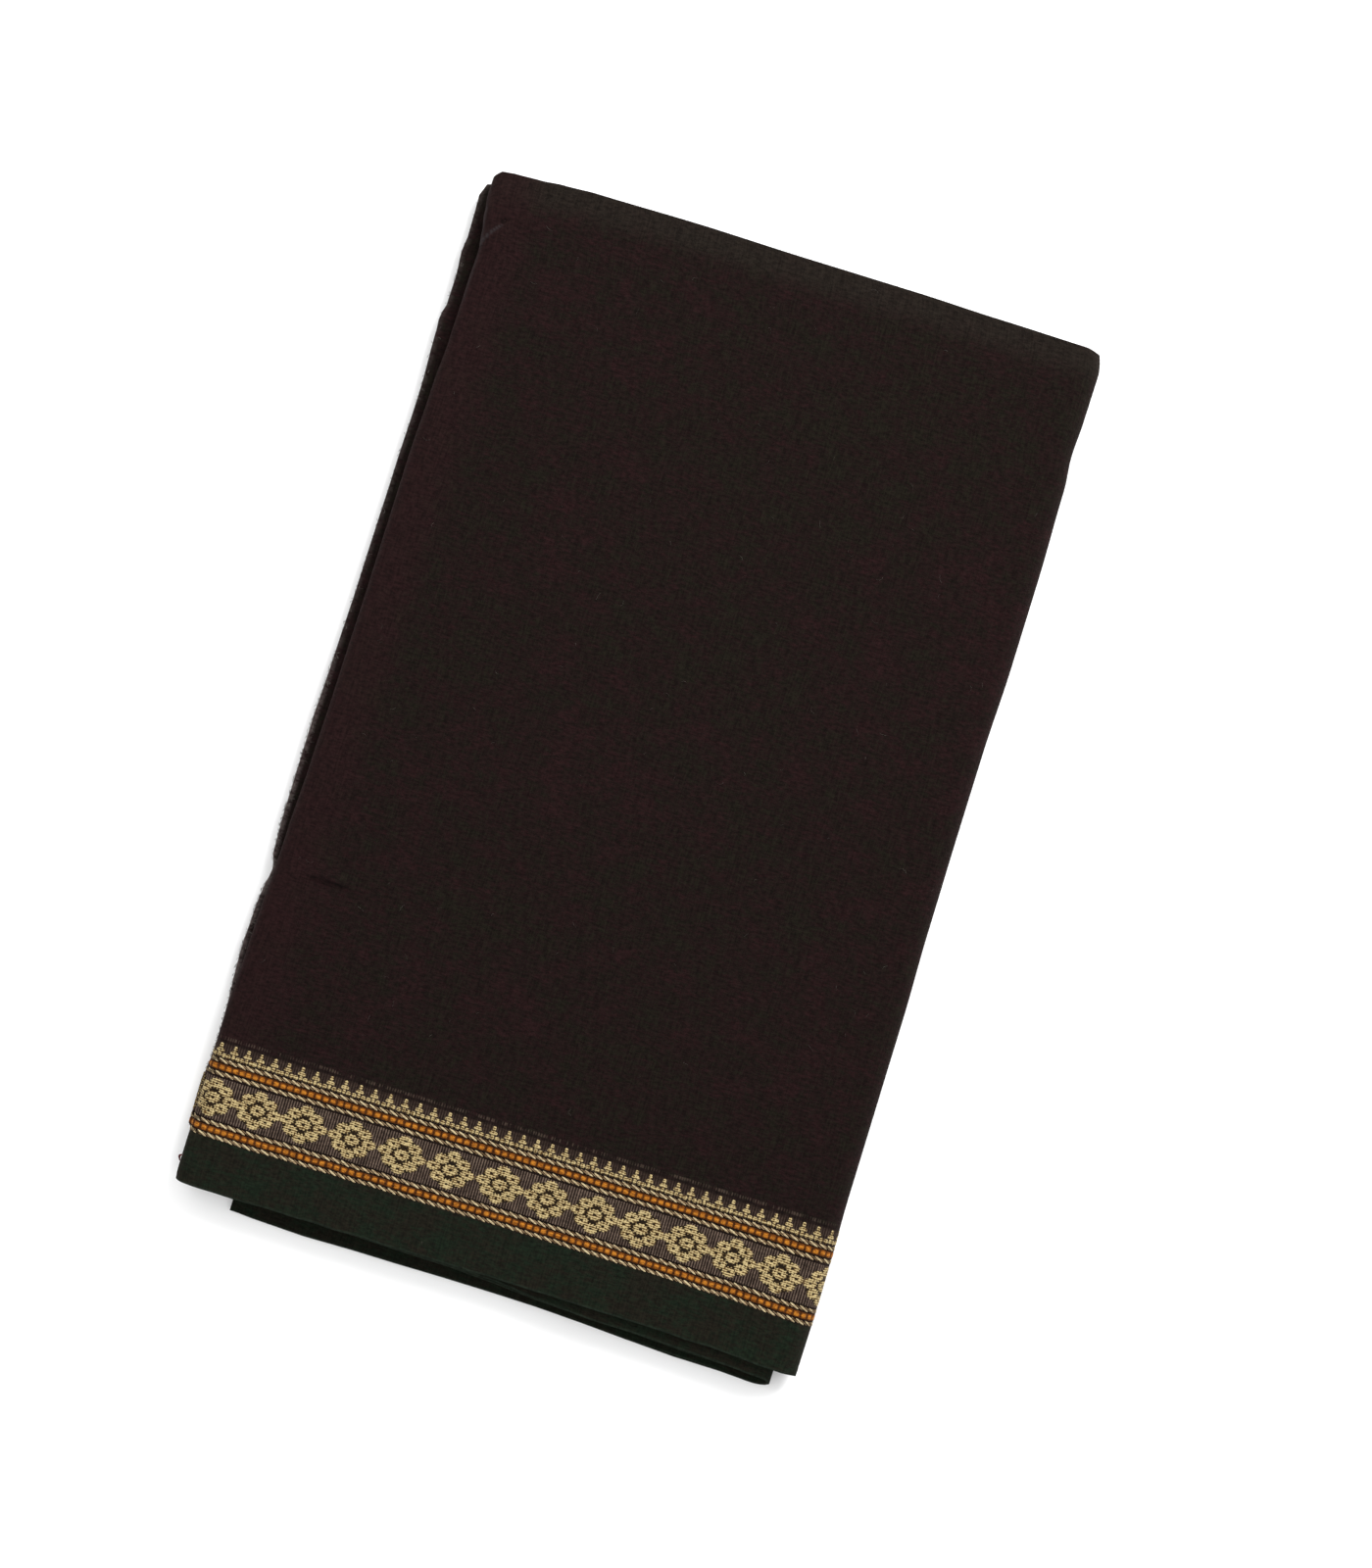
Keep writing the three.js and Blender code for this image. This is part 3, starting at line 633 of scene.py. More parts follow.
def fieldColour(tree, noises, weftSlubs, along, fromSelvedge):  # maroon and brown yarn, shot with green
    look = clothLook
    shot = addMath(tree, "ADD", noises["flecks"], addMath(tree, "MULTIPLY", noises["clouds"], 0.8))
    shot = addMath(tree, "ADD", shot, addMath(tree, "MULTIPLY", noises["broad"], 0.35))
    shot = addMath(tree, "ADD", shot, addMath(tree, "MULTIPLY", weftSlubs, 0.4))
    field = addMix(tree, addRange(tree, shot, 1.08, 1.28), look["maroon"], look["brown"])
    field = addMix(tree, addRange(tree, shot, 1.27, 1.46), field, look["green"])
    # painted sheen: the strip along the lengthwise fold is made lighter and greyer where the cloth curves
    # towards the light
    nearFoldPaintedSheen = addRange(tree, fromSelvedge, (halfWidth - 22) * mm, (halfWidth - 8) * mm, 0.0, 0.85)
    field = addMix(tree, nearFoldPaintedSheen, field, look["foldPaintedSheen"])
    # painted sheen: towards the left fold the cloth turns maroon, as shot cloth looks at a grazing angle
    offFoldPaintedSheen = addMath(tree, "ABSOLUTE", addMath(tree, "SUBTRACT", along, topLeg["end"] * mm))
    return addMix(tree, addRange(tree, offFoldPaintedSheen, 0.006, 0.03, 0.7, 0.0), field, look["maroon"])


def stripColour(tree, noises, fromSelvedge):  # the green strip at the selvedge, lighter at its very edge
    look = clothLook
    tone = addMath(tree, "MULTIPLY", addMath(tree, "ADD", noises["flecks"], noises["clouds"]), 0.5)
    strip = addMix(tree, addRange(tree, tone, 0.42, 0.6), look["selvedge"], look["selvedgeLight"])
    return addMix(tree, addRange(tree, fromSelvedge, 0.0004, 0.0014, 0.8, 0.0), strip, look["selvedgeEdge"])


def borderColour(tree, uneven, waves, fromSelvedge):  # bands, with light threads between the figures
    mesh = addMath(tree, "ADD", waves[0], addMath(tree, "MULTIPLY", waves[1], 0.2))
    mesh = addMath(tree, "ADD", mesh, addMath(tree, "MULTIPLY", uneven, 1.3))
    lightThread = addRange(tree, mesh, 1.1, 2.1)
    bandStart, bandEnd = border["darkLines"][:2]
    inBand = addRange(tree, fromSelvedge, bandStart * mm, (bandStart + 0.6) * mm)
    pastBand = addRange(tree, fromSelvedge, (bandEnd - 0.6) * mm, bandEnd * mm, 1.0, 0.0)
    inTeeth = addRange(tree, fromSelvedge, (border["teeth"] - 0.3) * mm, border["teeth"] * mm)
    pastTeeth = addRange(tree, fromSelvedge, (border["teeth"] + 5) * mm, (border["end"] + 0.6) * mm, 0.3, 0.0)
    inTeeth = addMath(tree, "MULTIPLY", inTeeth, pastTeeth)
    threadMask = addMath(tree, "MAXIMUM", addMath(tree, "MULTIPLY", inBand, pastBand), inTeeth)
    lightThread = addMath(tree, "MULTIPLY", lightThread, threadMask)
    return addMix(tree, lightThread, bandRamp(tree, fromSelvedge), clothLook["groundThread"])


def tickMask(tree, uneven, waves, fromSelvedge):  # a faint line of light ticks just past the border
    offLine = addMath(tree, "ABSOLUTE", addMath(tree, "SUBTRACT", fromSelvedge, border["picots"] * mm))
    ticks = addMath(tree, "ADD", addMath(tree, "MULTIPLY", waves[0], 0.12), uneven)
    ticks = addRange(tree, ticks, 0.95, 1.25)
    return addMath(tree, "MULTIPLY", addRange(tree, offLine, 0.0004, 0.0013, 0.42, 0.0), ticks)


def wornMask(tree, noises, along, fromSelvedge):  # the lower folds at the left are rubbed to a light fuzz
    worn = None
    for leg in leftTurns:
        middle = (leg["start"] + leg["end"]) / 2 * mm
        offMiddle = addMath(tree, "ABSOLUTE", addMath(tree, "SUBTRACT", along, middle))
        near = addRange(tree, offMiddle, 0.0012, 0.0045, 1.0, 0.0)
        worn = near if worn is None else addMath(tree, "MAXIMUM", worn, near)
    towardsFront = addRange(tree, fromSelvedge, 0.26, 0.32, 0.85, 0.25)
    pastBorder = addRange(tree, fromSelvedge, 0.058, 0.07)
    worn = addMath(tree, "MULTIPLY", addMath(tree, "MULTIPLY", worn, towardsFront), pastBorder)
    return addMath(tree, "MULTIPLY", worn, addRange(tree, noises["flecks"], 0.4, 0.56))


def addCreasePaintedLight(tree, colour):  # painted highlight along the creases' ridges and painted shade in their pits and dark lines
    tone = tree.nodes.new("ShaderNodeAttribute")
    tone.attribute_name = "creasePaintedLight"
    light = addRange(tree, tone.outputs["Fac"], 0.1, 1, 0.0, 0.8)
    colour = addMix(tree, light, colour, clothLook["creasePaintedHighlight"])
    return addShade(tree, colour, addRange(tree, tone.outputs["Fac"], -1, 0, 0.35, 1.0))


def sareeCloth():
    material, tree, shader, cloth = newMaterial("sareeCloth", 0.9, 0.02, (0.8, 0.5, 0.42, 1))
    look = clothLook
    weave = addWeave(tree, cloth, look["pitch"])
    weftSlubs = weave.outputs["Weft Slubs"]
    noises = {}
    for name, (stretch, detail, roughness) in clothNoises.items():
        noises[name] = addNoise(tree, addStretch(tree, cloth, stretch), 1.0, detail, roughness)
    parts = tree.nodes.new("ShaderNodeSeparateXYZ")
    tree.links.new(cloth, parts.inputs[0])
    along, across = parts.outputs["X"], parts.outputs["Y"]
    other = addMath(tree, "SUBTRACT", packet["clothWidth"] * mm, across)
    fromSelvedge = addMath(tree, "MINIMUM", across, other)
    waves = []
    for distance, pitch in zip((along, across), look["meshPitch"]):
        waves.append(addMath(tree, "SINE", addMath(tree, "MULTIPLY", distance, 2 * math.pi / (pitch * mm))))
    uneven = addMath(tree, "ADD", noises["jitter"], noises["patches"])

    strip = stripColour(tree, noises, fromSelvedge)
    bands = borderColour(tree, uneven, waves, fromSelvedge)
    field = fieldColour(tree, noises, weftSlubs, along, fromSelvedge)
    isBorder = addRange(tree, fromSelvedge, (border["selvedge"] - 0.1) * mm, border["selvedge"] * mm)
    isField = addRange(tree, fromSelvedge, (border["end"] - 1.0) * mm, (border["end"] + 1.2) * mm)
    colour = addMix(tree, isField, addMix(tree, isBorder, strip, bands), field)
    grain = addMath(tree, "ADD", noises["thin"], addMath(tree, "MULTIPLY", weftSlubs, 0.5))
    colour = addShade(tree, colour, addRange(tree, grain, 0.52, 0.98, 0.48, 1.6))
    colour = addMix(tree, tickMask(tree, uneven, waves, fromSelvedge), colour, look["groundThread"])
    colour = addMix(tree, wornMask(tree, noises, along, fromSelvedge), colour, look["fuzz"])
    tree.links.new(addCreasePaintedLight(tree, colour), shader.inputs["Base Color"])
    roughness = addRange(tree, weave.outputs["Warp Slubs"], 0.2, 0.8, 0.78, 0.95)
    tree.links.new(roughness, shader.inputs["Roughness"])
    addBump(tree, shader, addMath(tree, "ADD", weave.outputs["Height"], noises["flecks"]), 0.00022, 0.9)
    return material


def yarn(name, light, deep, pitch, paintedThreadLight=0.06):  # raised pattern yarn: fine threads that run along the cloth
    material, tree, shader, cloth = newMaterial(name, 0.7, 0.08, (0.9, 0.8, 0.6, 1))
    parts = tree.nodes.new("ShaderNodeSeparateXYZ")
    tree.links.new(cloth, parts.inputs[0])
    wobble = addNoise(tree, addStretch(tree, cloth, (300, 300, 1)), 1.0, 2.0)
    phase = addMath(tree, "MULTIPLY", parts.outputs["Y"], 2 * math.pi / pitch)
    threads = addMath(tree, "SINE", addMath(tree, "ADD", phase, addMath(tree, "MULTIPLY", wobble, 4)))
    picks = addMath(tree, "SINE", addMath(tree, "MULTIPLY", parts.outputs["X"], 2 * math.pi / (pitch * 1.3)))
    height = addMath(tree, "ADD", threads, addMath(tree, "MULTIPLY", picks, 0.5))
    patches = addNoise(tree, addStretch(tree, cloth, yarnPatchStretch), 1.0, 3.0, 0.75)
    # painted light and shade: lighter on the thread crests and darker in the grooves between them, on top of
    # the thick and thin patches
    tone = addMath(tree, "ADD", addMath(tree, "MULTIPLY", height, paintedThreadLight), patches)
    tree.links.new(addMix(tree, addRange(tree, tone, 0.41, 0.55), deep, light), shader.inputs["Base Color"])
    tree.links.new(addRange(tree, patches, 0.2, 0.8, 0.6, 0.85), shader.inputs["Roughness"])
    addBump(tree, shader, height, 0.00008, 0.8)
    return material


def lintFibre(name, dark, light):  # loose hairs, each a tone of its own
    material, tree, shader, cloth = newMaterial(name, 0.8, 0.08, (0.9, 0.85, 0.8, 1))
    tone = addNoise(tree, cloth, 260.0, 1.0)
    tree.links.new(addMix(tree, addRange(tree, tone, 0.35, 0.65), dark, light), shader.inputs["Base Color"])
    return material


materials = {
    "cloth": sareeCloth(),
    "cream": yarn("creamYarn", clothLook["cream"], clothLook["creamDeep"], 0.00125, 0.12),
    "twist": yarn("twistYarn", clothLook["twist"], clothLook["twistDeep"], 0.0005),
    "twistShade": yarn("twistShadeYarn", clothLook["twistDeep"], clothLook["creamDeep"], 0.0005),
    "lint": lintFibre("lintFibre", clothLook["lintDark"], clothLook["lint"]),
    "redThread": lintFibre("redThread", clothLook["redThread"], clothLook["redThread"]),
    # lit and shaded copies of the orange yarn: painted highlight and painted shade on the blocks
    "orange": yarn("litOrangeYarn", clothLook["orange"], clothLook["orangeDeep"], 0.0006),
    "shade": yarn("shadeYarn", clothLook["creamShade"], clothLook["dark"], 0.0005),
    "shadedOrange": yarn("shadedOrangeYarn", clothLook["orangeDeep"], clothLook["rust"], 0.0006),
}
print("materials made")

# The outer stretch: underside, right turn, top, left turn and the start of the tail

outerSheet = {
    "name": "outerStretch",
    "underSpacing": 7.5,
    "topSpacing": 3.7,
    "cornerSpacing": 1.35,
    "corner": 27,
    "turnSpacing": 1.7,
    "rows": [
        (0, 3, 0.9), (3, 84, 3.4), (84, 170, 5), (170, 188, 1.5), (188, 527, 5.3), (527, 559, 1.2),
        (559, 577, 2.4),
    ],
    "innerRows": [(581, 594, 4), (594, 1154, 14), (1154, 1158, 1.3)],
}


def outerColumns():
    legs = route[:5]
    under, right, top, left = legs[:4]
    tailEnd = legs[4]["start"] + packet["tail"]
    cornerStart = top["end"] - outerSheet["corner"]
    columns = stepsBetween(under["start"], under["end"], outerSheet["underSpacing"])
    columns += stepsBetween(right["start"], right["end"], outerSheet["turnSpacing"])
    columns += stepsBetween(top["start"], cornerStart, outerSheet["topSpacing"])
    columns += stepsBetween(cornerStart, top["end"], outerSheet["cornerSpacing"])
    columns += stepsBetween(left["start"], left["end"], outerSheet["turnSpacing"])
    columns += stepsBetween(left["end"], tailEnd, outerSheet["underSpacing"])
    return columns + [tailEnd]


def sheetRows(sheet):
    bend = halfWall * math.pi / 2
    rows = []
    for start, end, spacing in sheet["rows"]:
        rows += stepsBetween(start, end, spacing)
    rows += stepsBetween(halfWidth - bend, halfWidth + bend, bend / 2.5)
    for start, end, spacing in sheet["innerRows"]:
        rows += stepsBetween(start, end, spacing)
    return rows + [packet["clothWidth"]]


def addThickness(piece):
    shell = piece.modifiers.new("leaf", "SOLIDIFY")
    shell.thickness = packet["leafThickness"] * mm
    shell.offset = -1
    shell.use_rim = True


columns = outerColumns()
sheet = clothSheet(columns, sheetRows(outerSheet))
outer = layInFold(sheet, outerSheet["name"], materials["cloth"])
addThickness(outer)
# painted light and shade of the top's creases, kept on the mesh for the cloth's material
creasePaintedLights = outer.data.attributes.new("creasePaintedLight", "FLOAT", "POINT")
for vert, tone in zip(outer.data.vertices, creasePaintedLights.data):
    if vert.co.z > stackHeight / 2 * mm:
        tone.value = creasePaintedLight(vert.co.x / mm - lineLeft, vert.co.y / mm - lineFront)
outerEnd = columns[-1]
print("outer stretch made,", len(outer.data.polygons), "faces")

# The other stretches, from the tail to the free end: one sheet that turns back on itself thirteen times

innerSheet = {
    "name": "innerStretches",
    "flatSpacing": 27,
    "endSpacing": 5,
    "endReach": 16,
    "turnSpacing": 2.6,
    "rows": [
        (0, 2, 1), (2, 30, 7), (30, 34, 1), (34, 90, 11), (90, 170, 8), (170, 194, 4), (194, 470, 12),
        (470, 545, 5), (545, 577, 5),
    ],
    "innerRows": [(581, 606, 6), (606, 1138, 16), (1138, 1156, 6), (1156, 1158, 1)],
}


def innerColumns():
    columns = []
    for leg in route[4:]:
        start, end = max(leg["start"], outerEnd), leg["end"]
        if leg["radius"]:
            columns += stepsBetween(start, end, min(innerSheet["turnSpacing"], (end - start) / 5))
            continue
        reach = innerSheet["endReach"]
        columns += stepsBetween(start, start + reach, innerSheet["endSpacing"])
        columns += stepsBetween(start + reach, end - reach, innerSheet["flatSpacing"])
        columns += stepsBetween(end - reach, end, innerSheet["endSpacing"])
    return columns + [clothEnd]


sheet = clothSheet(innerColumns(), sheetRows(innerSheet))
inner = layInFold(sheet, innerSheet["name"], materials["cloth"])
addThickness(inner)
print("inner stretches made,", len(inner.data.polygons), "faces")

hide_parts("outer_stretch_field", "outer_stretch_border", "outer_stretch_selvedge")
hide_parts("second_stretch_field", "second_stretch_selvedge",
            "end_stretch_field", "end_stretch_selvedge",
            "left_fold_field", "left_fold_border", "left_fold_selvedge", "hidden_layers")

# The woven pattern lies on the face of the border as low raised yarn

pattern = {
    "lift": 0.18,
    "sink": 0.06,
    "lobes": 12,
    "lobeDepth": 0.18,
    "petals": [  # place and half size of a rosette's florets, in one quarter that the others mirror
        ((0, 0), (4.9, 3.6)),
        ((9.3, 0), (4.7, 3.05)),
        ((0, 7.9), (4.2, 3.3)),
        ((5.9, 4.8), (4.5, 3.3)),
    ],
    "seat": (11.6, 9.6),
    "tooth": [  # the steps of a temple tooth from its base up: where their pads lie, and half a pad's size
        {"at": 1.3, "parts": (-2.6, 2.6), "size": (1.35, 1.2)},
        {"at": 1.5, "parts": (0,), "size": (1.0, 1.35)},
        {"at": 3.9, "parts": (0,), "size": (2.3, 1.15)},
        {"at": 6.5, "parts": (0,), "size": (0.95, 1.5)},
    ],
    "block": (1.9, 1.75),
    "blockPaintedHighlight": (1.45, 1.2),
    "strand": (3.0, 0.6),
    "strandThin": (2.7, 0.34),
    "strandTurn": 23,
    "square": 4,  # how square the pads are: 2 is an ellipse
    "seed": 11,
}


def ringAt(bm, centre, radii, height, segments, lobeDepth=0.0, square=2.0):
    made = bmesh.ops.create_circle(bm, segments=segments, radius=1.0)
    for vert in made["verts"]:
        angle = math.atan2(vert.co.y, vert.co.x)
        reach = 1 - lobeDepth * (0.5 + 0.5 * math.cos(pattern["lobes"] * angle))
        reach /= (abs(vert.co.x) ** square + abs(vert.co.y) ** square) ** (1 / square)
        vert.co = (centre[0] + vert.co.x * reach * radii[0], centre[1] + vert.co.y * reach * radii[1], height)
    ring = set(made["verts"])
    return [edge for edge in bm.edges if edge.verts[0] in ring and edge.verts[1] in ring]


def addPetal(bm, centre, size):  # a floret: a notched ring round an open dark eye
    depth = pattern["lobeDepth"]
    rings = [
        ringAt(bm, centre, size, -pattern["sink"], 24, depth),
        ringAt(bm, centre, (size[0] * 0.92, size[1] * 0.9), pattern["lift"], 24, depth * 1.6),
        ringAt(bm, centre, (size[0] * 0.24, size[1] * 0.2), pattern["lift"] * 0.9, 24),
        ringAt(bm, centre, (size[0] * 0.17, size[1] * 0.13), -pattern["sink"], 24),
    ]
    for first, second in zip(rings, rings[1:] + rings[:1]):
        bmesh.ops.bridge_loops(bm, edges=first + second)


def addBlob(bm, centre, size, segments=8, height=None, square=2.0):  # a low pad of yarn
    height = pattern["lift"] if height is None else height
    foot = ringAt(bm, centre, size, -pattern["sink"], segments, square=square)
    shoulder = ringAt(bm, centre, (size[0] * 0.84, size[1] * 0.82), height, segments, square=square)
    bmesh.ops.bridge_loops(bm, edges=foot + shoulder)
    for ring in (foot, shoulder):
        bmesh.ops.contextual_create(bm, geom=ring)


def tileMesh(name, build):
    bm = bmesh.new()
    build(bm)
    bmesh.ops.recalc_face_normals(bm, faces=bm.faces)
    mesh = bpy.data.meshes.new(name)
    bm.to_mesh(mesh)
    bm.free()
    return mesh


def repeatTile(bm, tile, places, wander):  # copies of a tile, each a little off its place
    for x, y in places:
        known = len(bm.verts)
        bm.from_mesh(tile)
        bm.verts.ensure_lookup_table()
        shiftX, shiftY = draw.uniform(-wander, wander), draw.uniform(-wander, wander)
        for vert in bm.verts[known:]:
            vert.co.x += x + shiftX
            vert.co.y += y + shiftY


def patternStretches():  # the stretches of border that show: the outer piece and the lower folds at the left
    shown = [(0.0, outerEnd)]
    for leg in leftTurns:
        shown.append((leg["start"] - border["lowerReach"], leg["end"] + border["lowerReach"]))
    return shown


def alongOf(x, y):  # the place along the cloth that lies at x on the top stretch
    left, right = leftCentre(1, y), rightCentre(1, y)
    share = (x - left) / (right - left)
    if share < 0:
        return topLeg["end"] + left - x
    if share > 1:
        return topLeg["start"] + right - x
    return topLeg["end"] - share * (topLeg["end"] - topLeg["start"])


def placesAlong(pitch, first, y):  # where a repeat lies along the cloth, counted from the packet's left line
    found = []
    shown = patternStretches()
    for number in range(-round(clothEnd / pitch), round(3 * packetWidth / pitch)):
        x = pitch * number + first
        along = alongOf(x + follow(border["drift"], x), y)
        if any(start + pitch / 2 <= along <= end - pitch / 2 for start, end in shown):
            found.append(along)
    return found


draw = random.Random(pattern["seed"])


def makeMotif(name, buildTile, places, wander, material):  # one figure of the border, at all of its places
    bm = bmesh.new()
    repeatTile(bm, tileMesh(name + "Tile", buildTile), places, wander)
    piece = layInFold(bm, name, materials[material])
    print(name, "made,", len(piece.data.polygons), "faces")


def rosetteTile(bm):
    for (x, y), size in pattern["petals"]:
        for centreX in sorted({x, -x}):
            for centreY in sorted({y, -y}):
                addPetal(bm, (centreX, centreY), size)


def seatTile(bm):  # the dark ground between the florets, darkened further as painted shade
    rings = []
    for share, height in ((1, -pattern["sink"]), (0.97, 0.07), (0.72, 0.08), (0.45, 0.08), (0.2, 0.08)):
        size = pattern["seat"][0] * share, pattern["seat"][1] * share
        rings.append(ringAt(bm, (0, 0), size, height, 32))
    for first, second in zip(rings, rings[1:]):
        bmesh.ops.bridge_loops(bm, edges=first + second)
    for ring in (rings[0], rings[-1]):
        bmesh.ops.contextual_create(bm, geom=ring)


def toothTile(bm):
    for row in pattern["tooth"]:
        for x in row["parts"]:
            addBlob(bm, (x, row["at"]), row["size"], 12, square=pattern["square"] - 1)


def blockTile(bm):
    addBlob(bm, (0, 0), pattern["block"], 16, pattern["lift"] * 0.8, pattern["square"])


def blockHighlightTile(bm):  # painted highlight: the lighter middle of a block, in a lit copy of the orange yarn
    addBlob(bm, (0, 0), pattern["blockPaintedHighlight"], 16, pattern["lift"] * 1.1, pattern["square"])


def turnStrand(bm):
    turn = Matrix.Rotation(math.radians(pattern["strandTurn"]), 3, "Z")
    bmesh.ops.rotate(bm, verts=bm.verts, cent=(0, 0, 0), matrix=turn)


def strandTile(bm):  # the thick strand of a twisted line, which slants across it
    addBlob(bm, (0, 0), pattern["strand"], 10, pattern["lift"] * 1.3)
    turnStrand(bm)


def thinStrandTile(bm):
    addBlob(bm, (0, 0), pattern["strandThin"], 10, pattern["lift"] * 0.9)
    turnStrand(bm)


def repeats(pitch, rows, first=0.0):
    return [(along, y) for y in rows for along in placesAlong(pitch, border["firstRosette"] + first, y)]


rosettePlaces = repeats(border["rosettePitch"], [border["rosette"]])
toothPlaces = repeats(border["toothPitch"], [border["teeth"]], border["firstTooth"])
blockPlaces = repeats(border["blockPitch"], border["blocks"], border["firstBlock"])
twistPlaces = repeats(border["twistPitch"], border["twists"])
thinPlaces = repeats(border["twistPitch"], border["twists"], border["twistPitch"] / 2)
makeMotif("rosettes", rosetteTile, rosettePlaces, 0.15, "cream")
makeMotif("rosetteSeats", seatTile, rosettePlaces, 0, "shade")
makeMotif("templeTeeth", toothTile, toothPlaces, 0.12, "cream")
# the blocks are a shaded copy of the orange yarn and their middles a lit copy: painted shade at the rims,
# painted highlight in the middles
makeMotif("orangeBlocks", blockTile, blockPlaces, 0.04, "shadedOrange")
makeMotif("orangeBlockHighlights", blockHighlightTile, blockPlaces, 0.1, "orange")
makeMotif("twistLines", strandTile, twistPlaces, 0.1, "twist")
makeMotif("twistShades", thinStrandTile, thinPlaces, 0.1, "twistShade")

# Loose fibres: on the top, and thicker along the lower folds at the left

fibres = {
    "seed": 5,
    "top": {"length": (1.5, 4.5), "rise": (0.1, 0.4), "radius": 0.05, "standing": False},
    "left": {"length": (0.8, 3), "rise": (0.3, 1.1), "radius": 0.12, "standing": True},
    "bend": 1.5,
    "edgeRoom": 6,
    "onTop": 320,
    "atLeft": 1300,
    "leftStart": 62,  # most of the left edge's fuzz lies between these two, mm from the selvedge
    "leftReach": 300,
    "redThread": {"heading": 1.4, "bend": 1.2, "length": 4.2, "rise": 1.1, "radius": 0.7, "standing": False},
    "redPlace": 9.8,  # from the selvedge
}


def hairTile(sides):  # a straight closed tube of length 1 and radius 1
    def build(bm):
        rings = []
        for share in (0, 0.33, 0.67, 1):
            matrix = Matrix.Translation((share, 0, 0)) @ Matrix.Rotation(math.pi / 2, 4, "Y")
            made = bmesh.ops.create_circle(bm, segments=sides, radius=1, matrix=matrix)
            ring = set(made["verts"])
            rings.append([edge for edge in bm.edges if edge.verts[0] in ring and edge.verts[1] in ring])
        for first, second in zip(rings, rings[1:]):
            bmesh.ops.bridge_loops(bm, edges=first + second)
        for ring in (rings[0], rings[-1]):
            bmesh.ops.contextual_create(bm, geom=ring)
    return build


def addHair(bm, tile, along, across, hair):  # lays the tube in an arc from its root, on or off the cloth
    known = len(bm.verts)
    bm.from_mesh(tile)
    bm.verts.ensure_lookup_table()
    for vert in bm.verts[known:]:
        share = vert.co.x
        angle = hair["heading"] + hair["bend"] * (share - 0.5)
        reach = share * hair["length"]
        side = vert.co.y * hair["radius"]
        vert.co.x = along + reach * math.cos(angle) - side * math.sin(angle)
        vert.co.y = across + reach * math.sin(angle) + side * math.cos(angle)
        lift = hair["rise"] * (share if hair["standing"] else math.sin(math.pi * share))
        vert.co.z = 0.03 + max(lift + vert.co.z * hair["radius"], 0)


def randomHair(pick, kind):
    hair = dict(kind)
    hair["heading"] = pick.uniform(0, 2 * math.pi)
    hair["bend"] = pick.uniform(-fibres["bend"], fibres["bend"])
    hair["length"] = pick.uniform(*kind["length"])
    hair["rise"] = pick.uniform(*kind["rise"])
    return hair


def lintHairs(bm):
    pick = random.Random(fibres["seed"])
    tile = tileMesh("hairTile", hairTile(3))
    for number in range(fibres["onTop"]):
        along = pick.uniform(10, topLeg["end"])
        across = pick.uniform(5, halfWidth - fibres["edgeRoom"])
        addHair(bm, tile, along, across, randomHair(pick, fibres["top"]))
    for number in range(fibres["atLeft"]):
        leg = leftTurns[number % len(leftTurns)]
        along = pick.uniform(leg["start"], leg["end"])
        reach = halfWidth - fibres["edgeRoom"] if number % 6 == 0 else fibres["leftReach"]
        across = pick.uniform(fibres["leftStart"], reach)
        addHair(bm, tile, along, across, randomHair(pick, fibres["left"]))


def redThreadHair(bm):
    middle = (route[3]["start"] + route[3]["end"]) / 2
    addHair(bm, tileMesh("threadTile", hairTile(6)), middle, fibres["redPlace"], fibres["redThread"])


def newFibres(name, material, build):
    bm = bmesh.new()
    build(bm)
    piece = layInFold(bm, name, material)
    print(name, "made,", len(piece.data.polygons), "faces")


newFibres("lint", materials["lint"], lintHairs)
newFibres("redThread", materials["redThread"], redThreadHair)

# Floor, light and camera

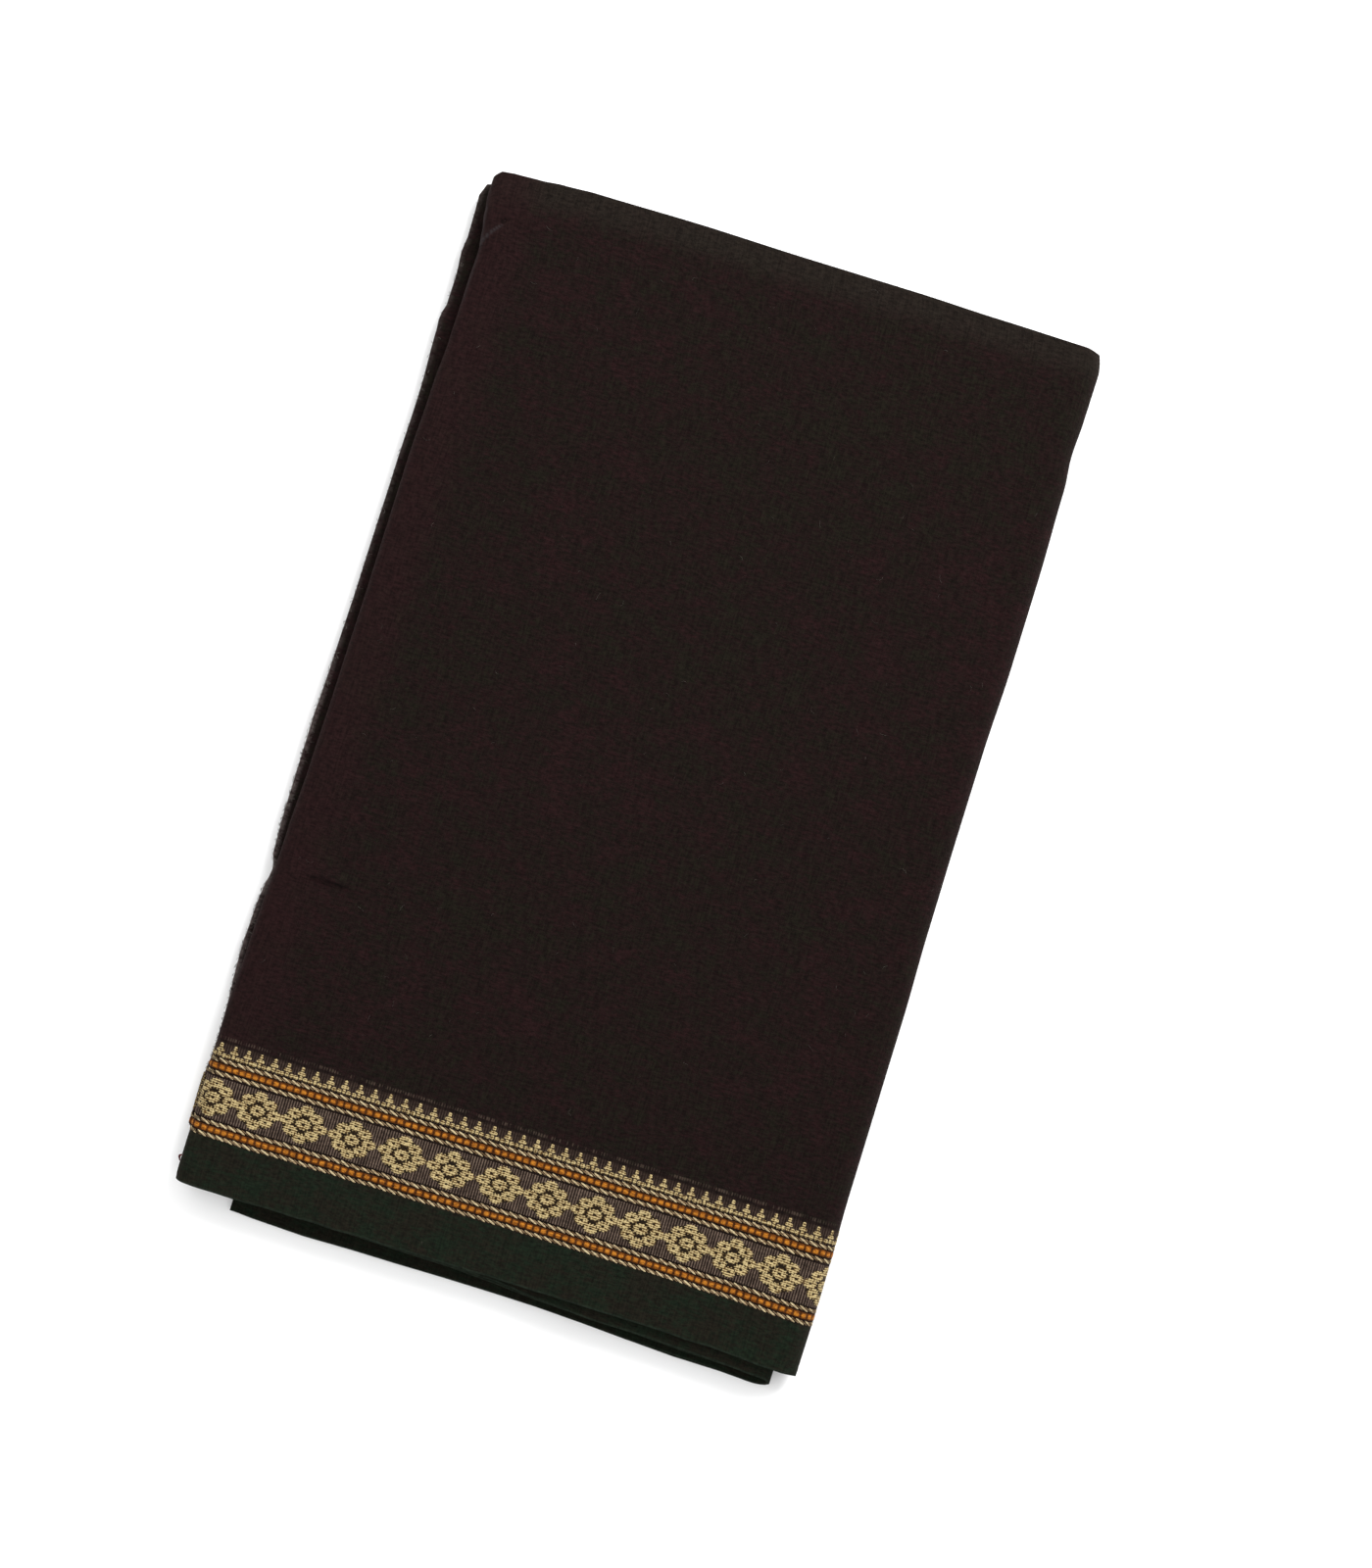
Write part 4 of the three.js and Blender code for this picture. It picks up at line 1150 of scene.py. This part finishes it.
studio = {
    "floorSize": 12,
    "floorColour": (0.96, 0.96, 0.96, 1),
    "cameraLens": 135,
    "cameraSensor": 36,
    "cameraTurn": 17.1,
    "aim": (200.0, 288.0),  # what the middle of the picture looks at, mm from the packet's lower left corner
    "pictureHeight": 848.8,  # mm
    "keyPlace": (0.75, 1.75, 1.55),
    "keyPower": 70,
    "keySize": 1.3,
    "fillPlace": (-1.3, 0.9, 2.1),
    "fillPower": 14,
    "fillSize": 2.4,
    "sky": 1.05,
}


def makeFloor():
    bm = bmesh.new()
    bmesh.ops.create_grid(bm, x_segments=1, y_segments=1, size=studio["floorSize"] / 2)
    mesh = bpy.data.meshes.new("floor")
    bm.to_mesh(mesh)
    bm.free()
    floor = bpy.data.objects.new("floor", mesh)
    bpy.context.scene.collection.objects.link(floor)
    material = bpy.data.materials.new("paper")
    material.use_nodes = True
    shader = material.node_tree.nodes["Principled BSDF"]
    shader.inputs["Base Color"].default_value = studio["floorColour"]
    shader.inputs["Roughness"].default_value = 0.9
    mesh.materials.append(material)


def makeLight(name, place, power, size):
    light = bpy.data.lights.new(name, "AREA")
    light.energy = power
    light.size = size
    lamp = bpy.data.objects.new(name, light)
    lamp.location = place
    lamp.rotation_euler = (-Vector(place)).to_track_quat("-Z", "Y").to_euler()
    bpy.context.scene.collection.objects.link(lamp)


def makeCamera():
    camera = bpy.data.cameras.new("camera")
    camera.lens = studio["cameraLens"]
    camera.sensor_width = studio["cameraSensor"]
    away = studio["pictureHeight"] * studio["cameraLens"] / studio["cameraSensor"]
    place = bpy.data.objects.new("camera", camera)
    x, y = studio["aim"]
    place.location = ((x + lineLeft) * mm, (y + lineFront) * mm, (away + stackHeight) * mm)
    place.rotation_euler = (0, 0, math.radians(studio["cameraTurn"]))
    bpy.context.scene.collection.objects.link(place)
    bpy.context.scene.camera = place


makeFloor()
makeLight("keyLight", studio["keyPlace"], studio["keyPower"], studio["keySize"])
makeLight("fillLight", studio["fillPlace"], studio["fillPower"], studio["fillSize"])
world = bpy.data.worlds.new("studio")
world.use_nodes = True
world.node_tree.nodes["Background"].inputs["Color"].default_value = (1, 1, 1, 1)
world.node_tree.nodes["Background"].inputs["Strength"].default_value = studio["sky"]
bpy.context.scene.world = world
bpy.context.scene.view_settings.view_transform = "Standard"
makeCamera()
print("studio made")
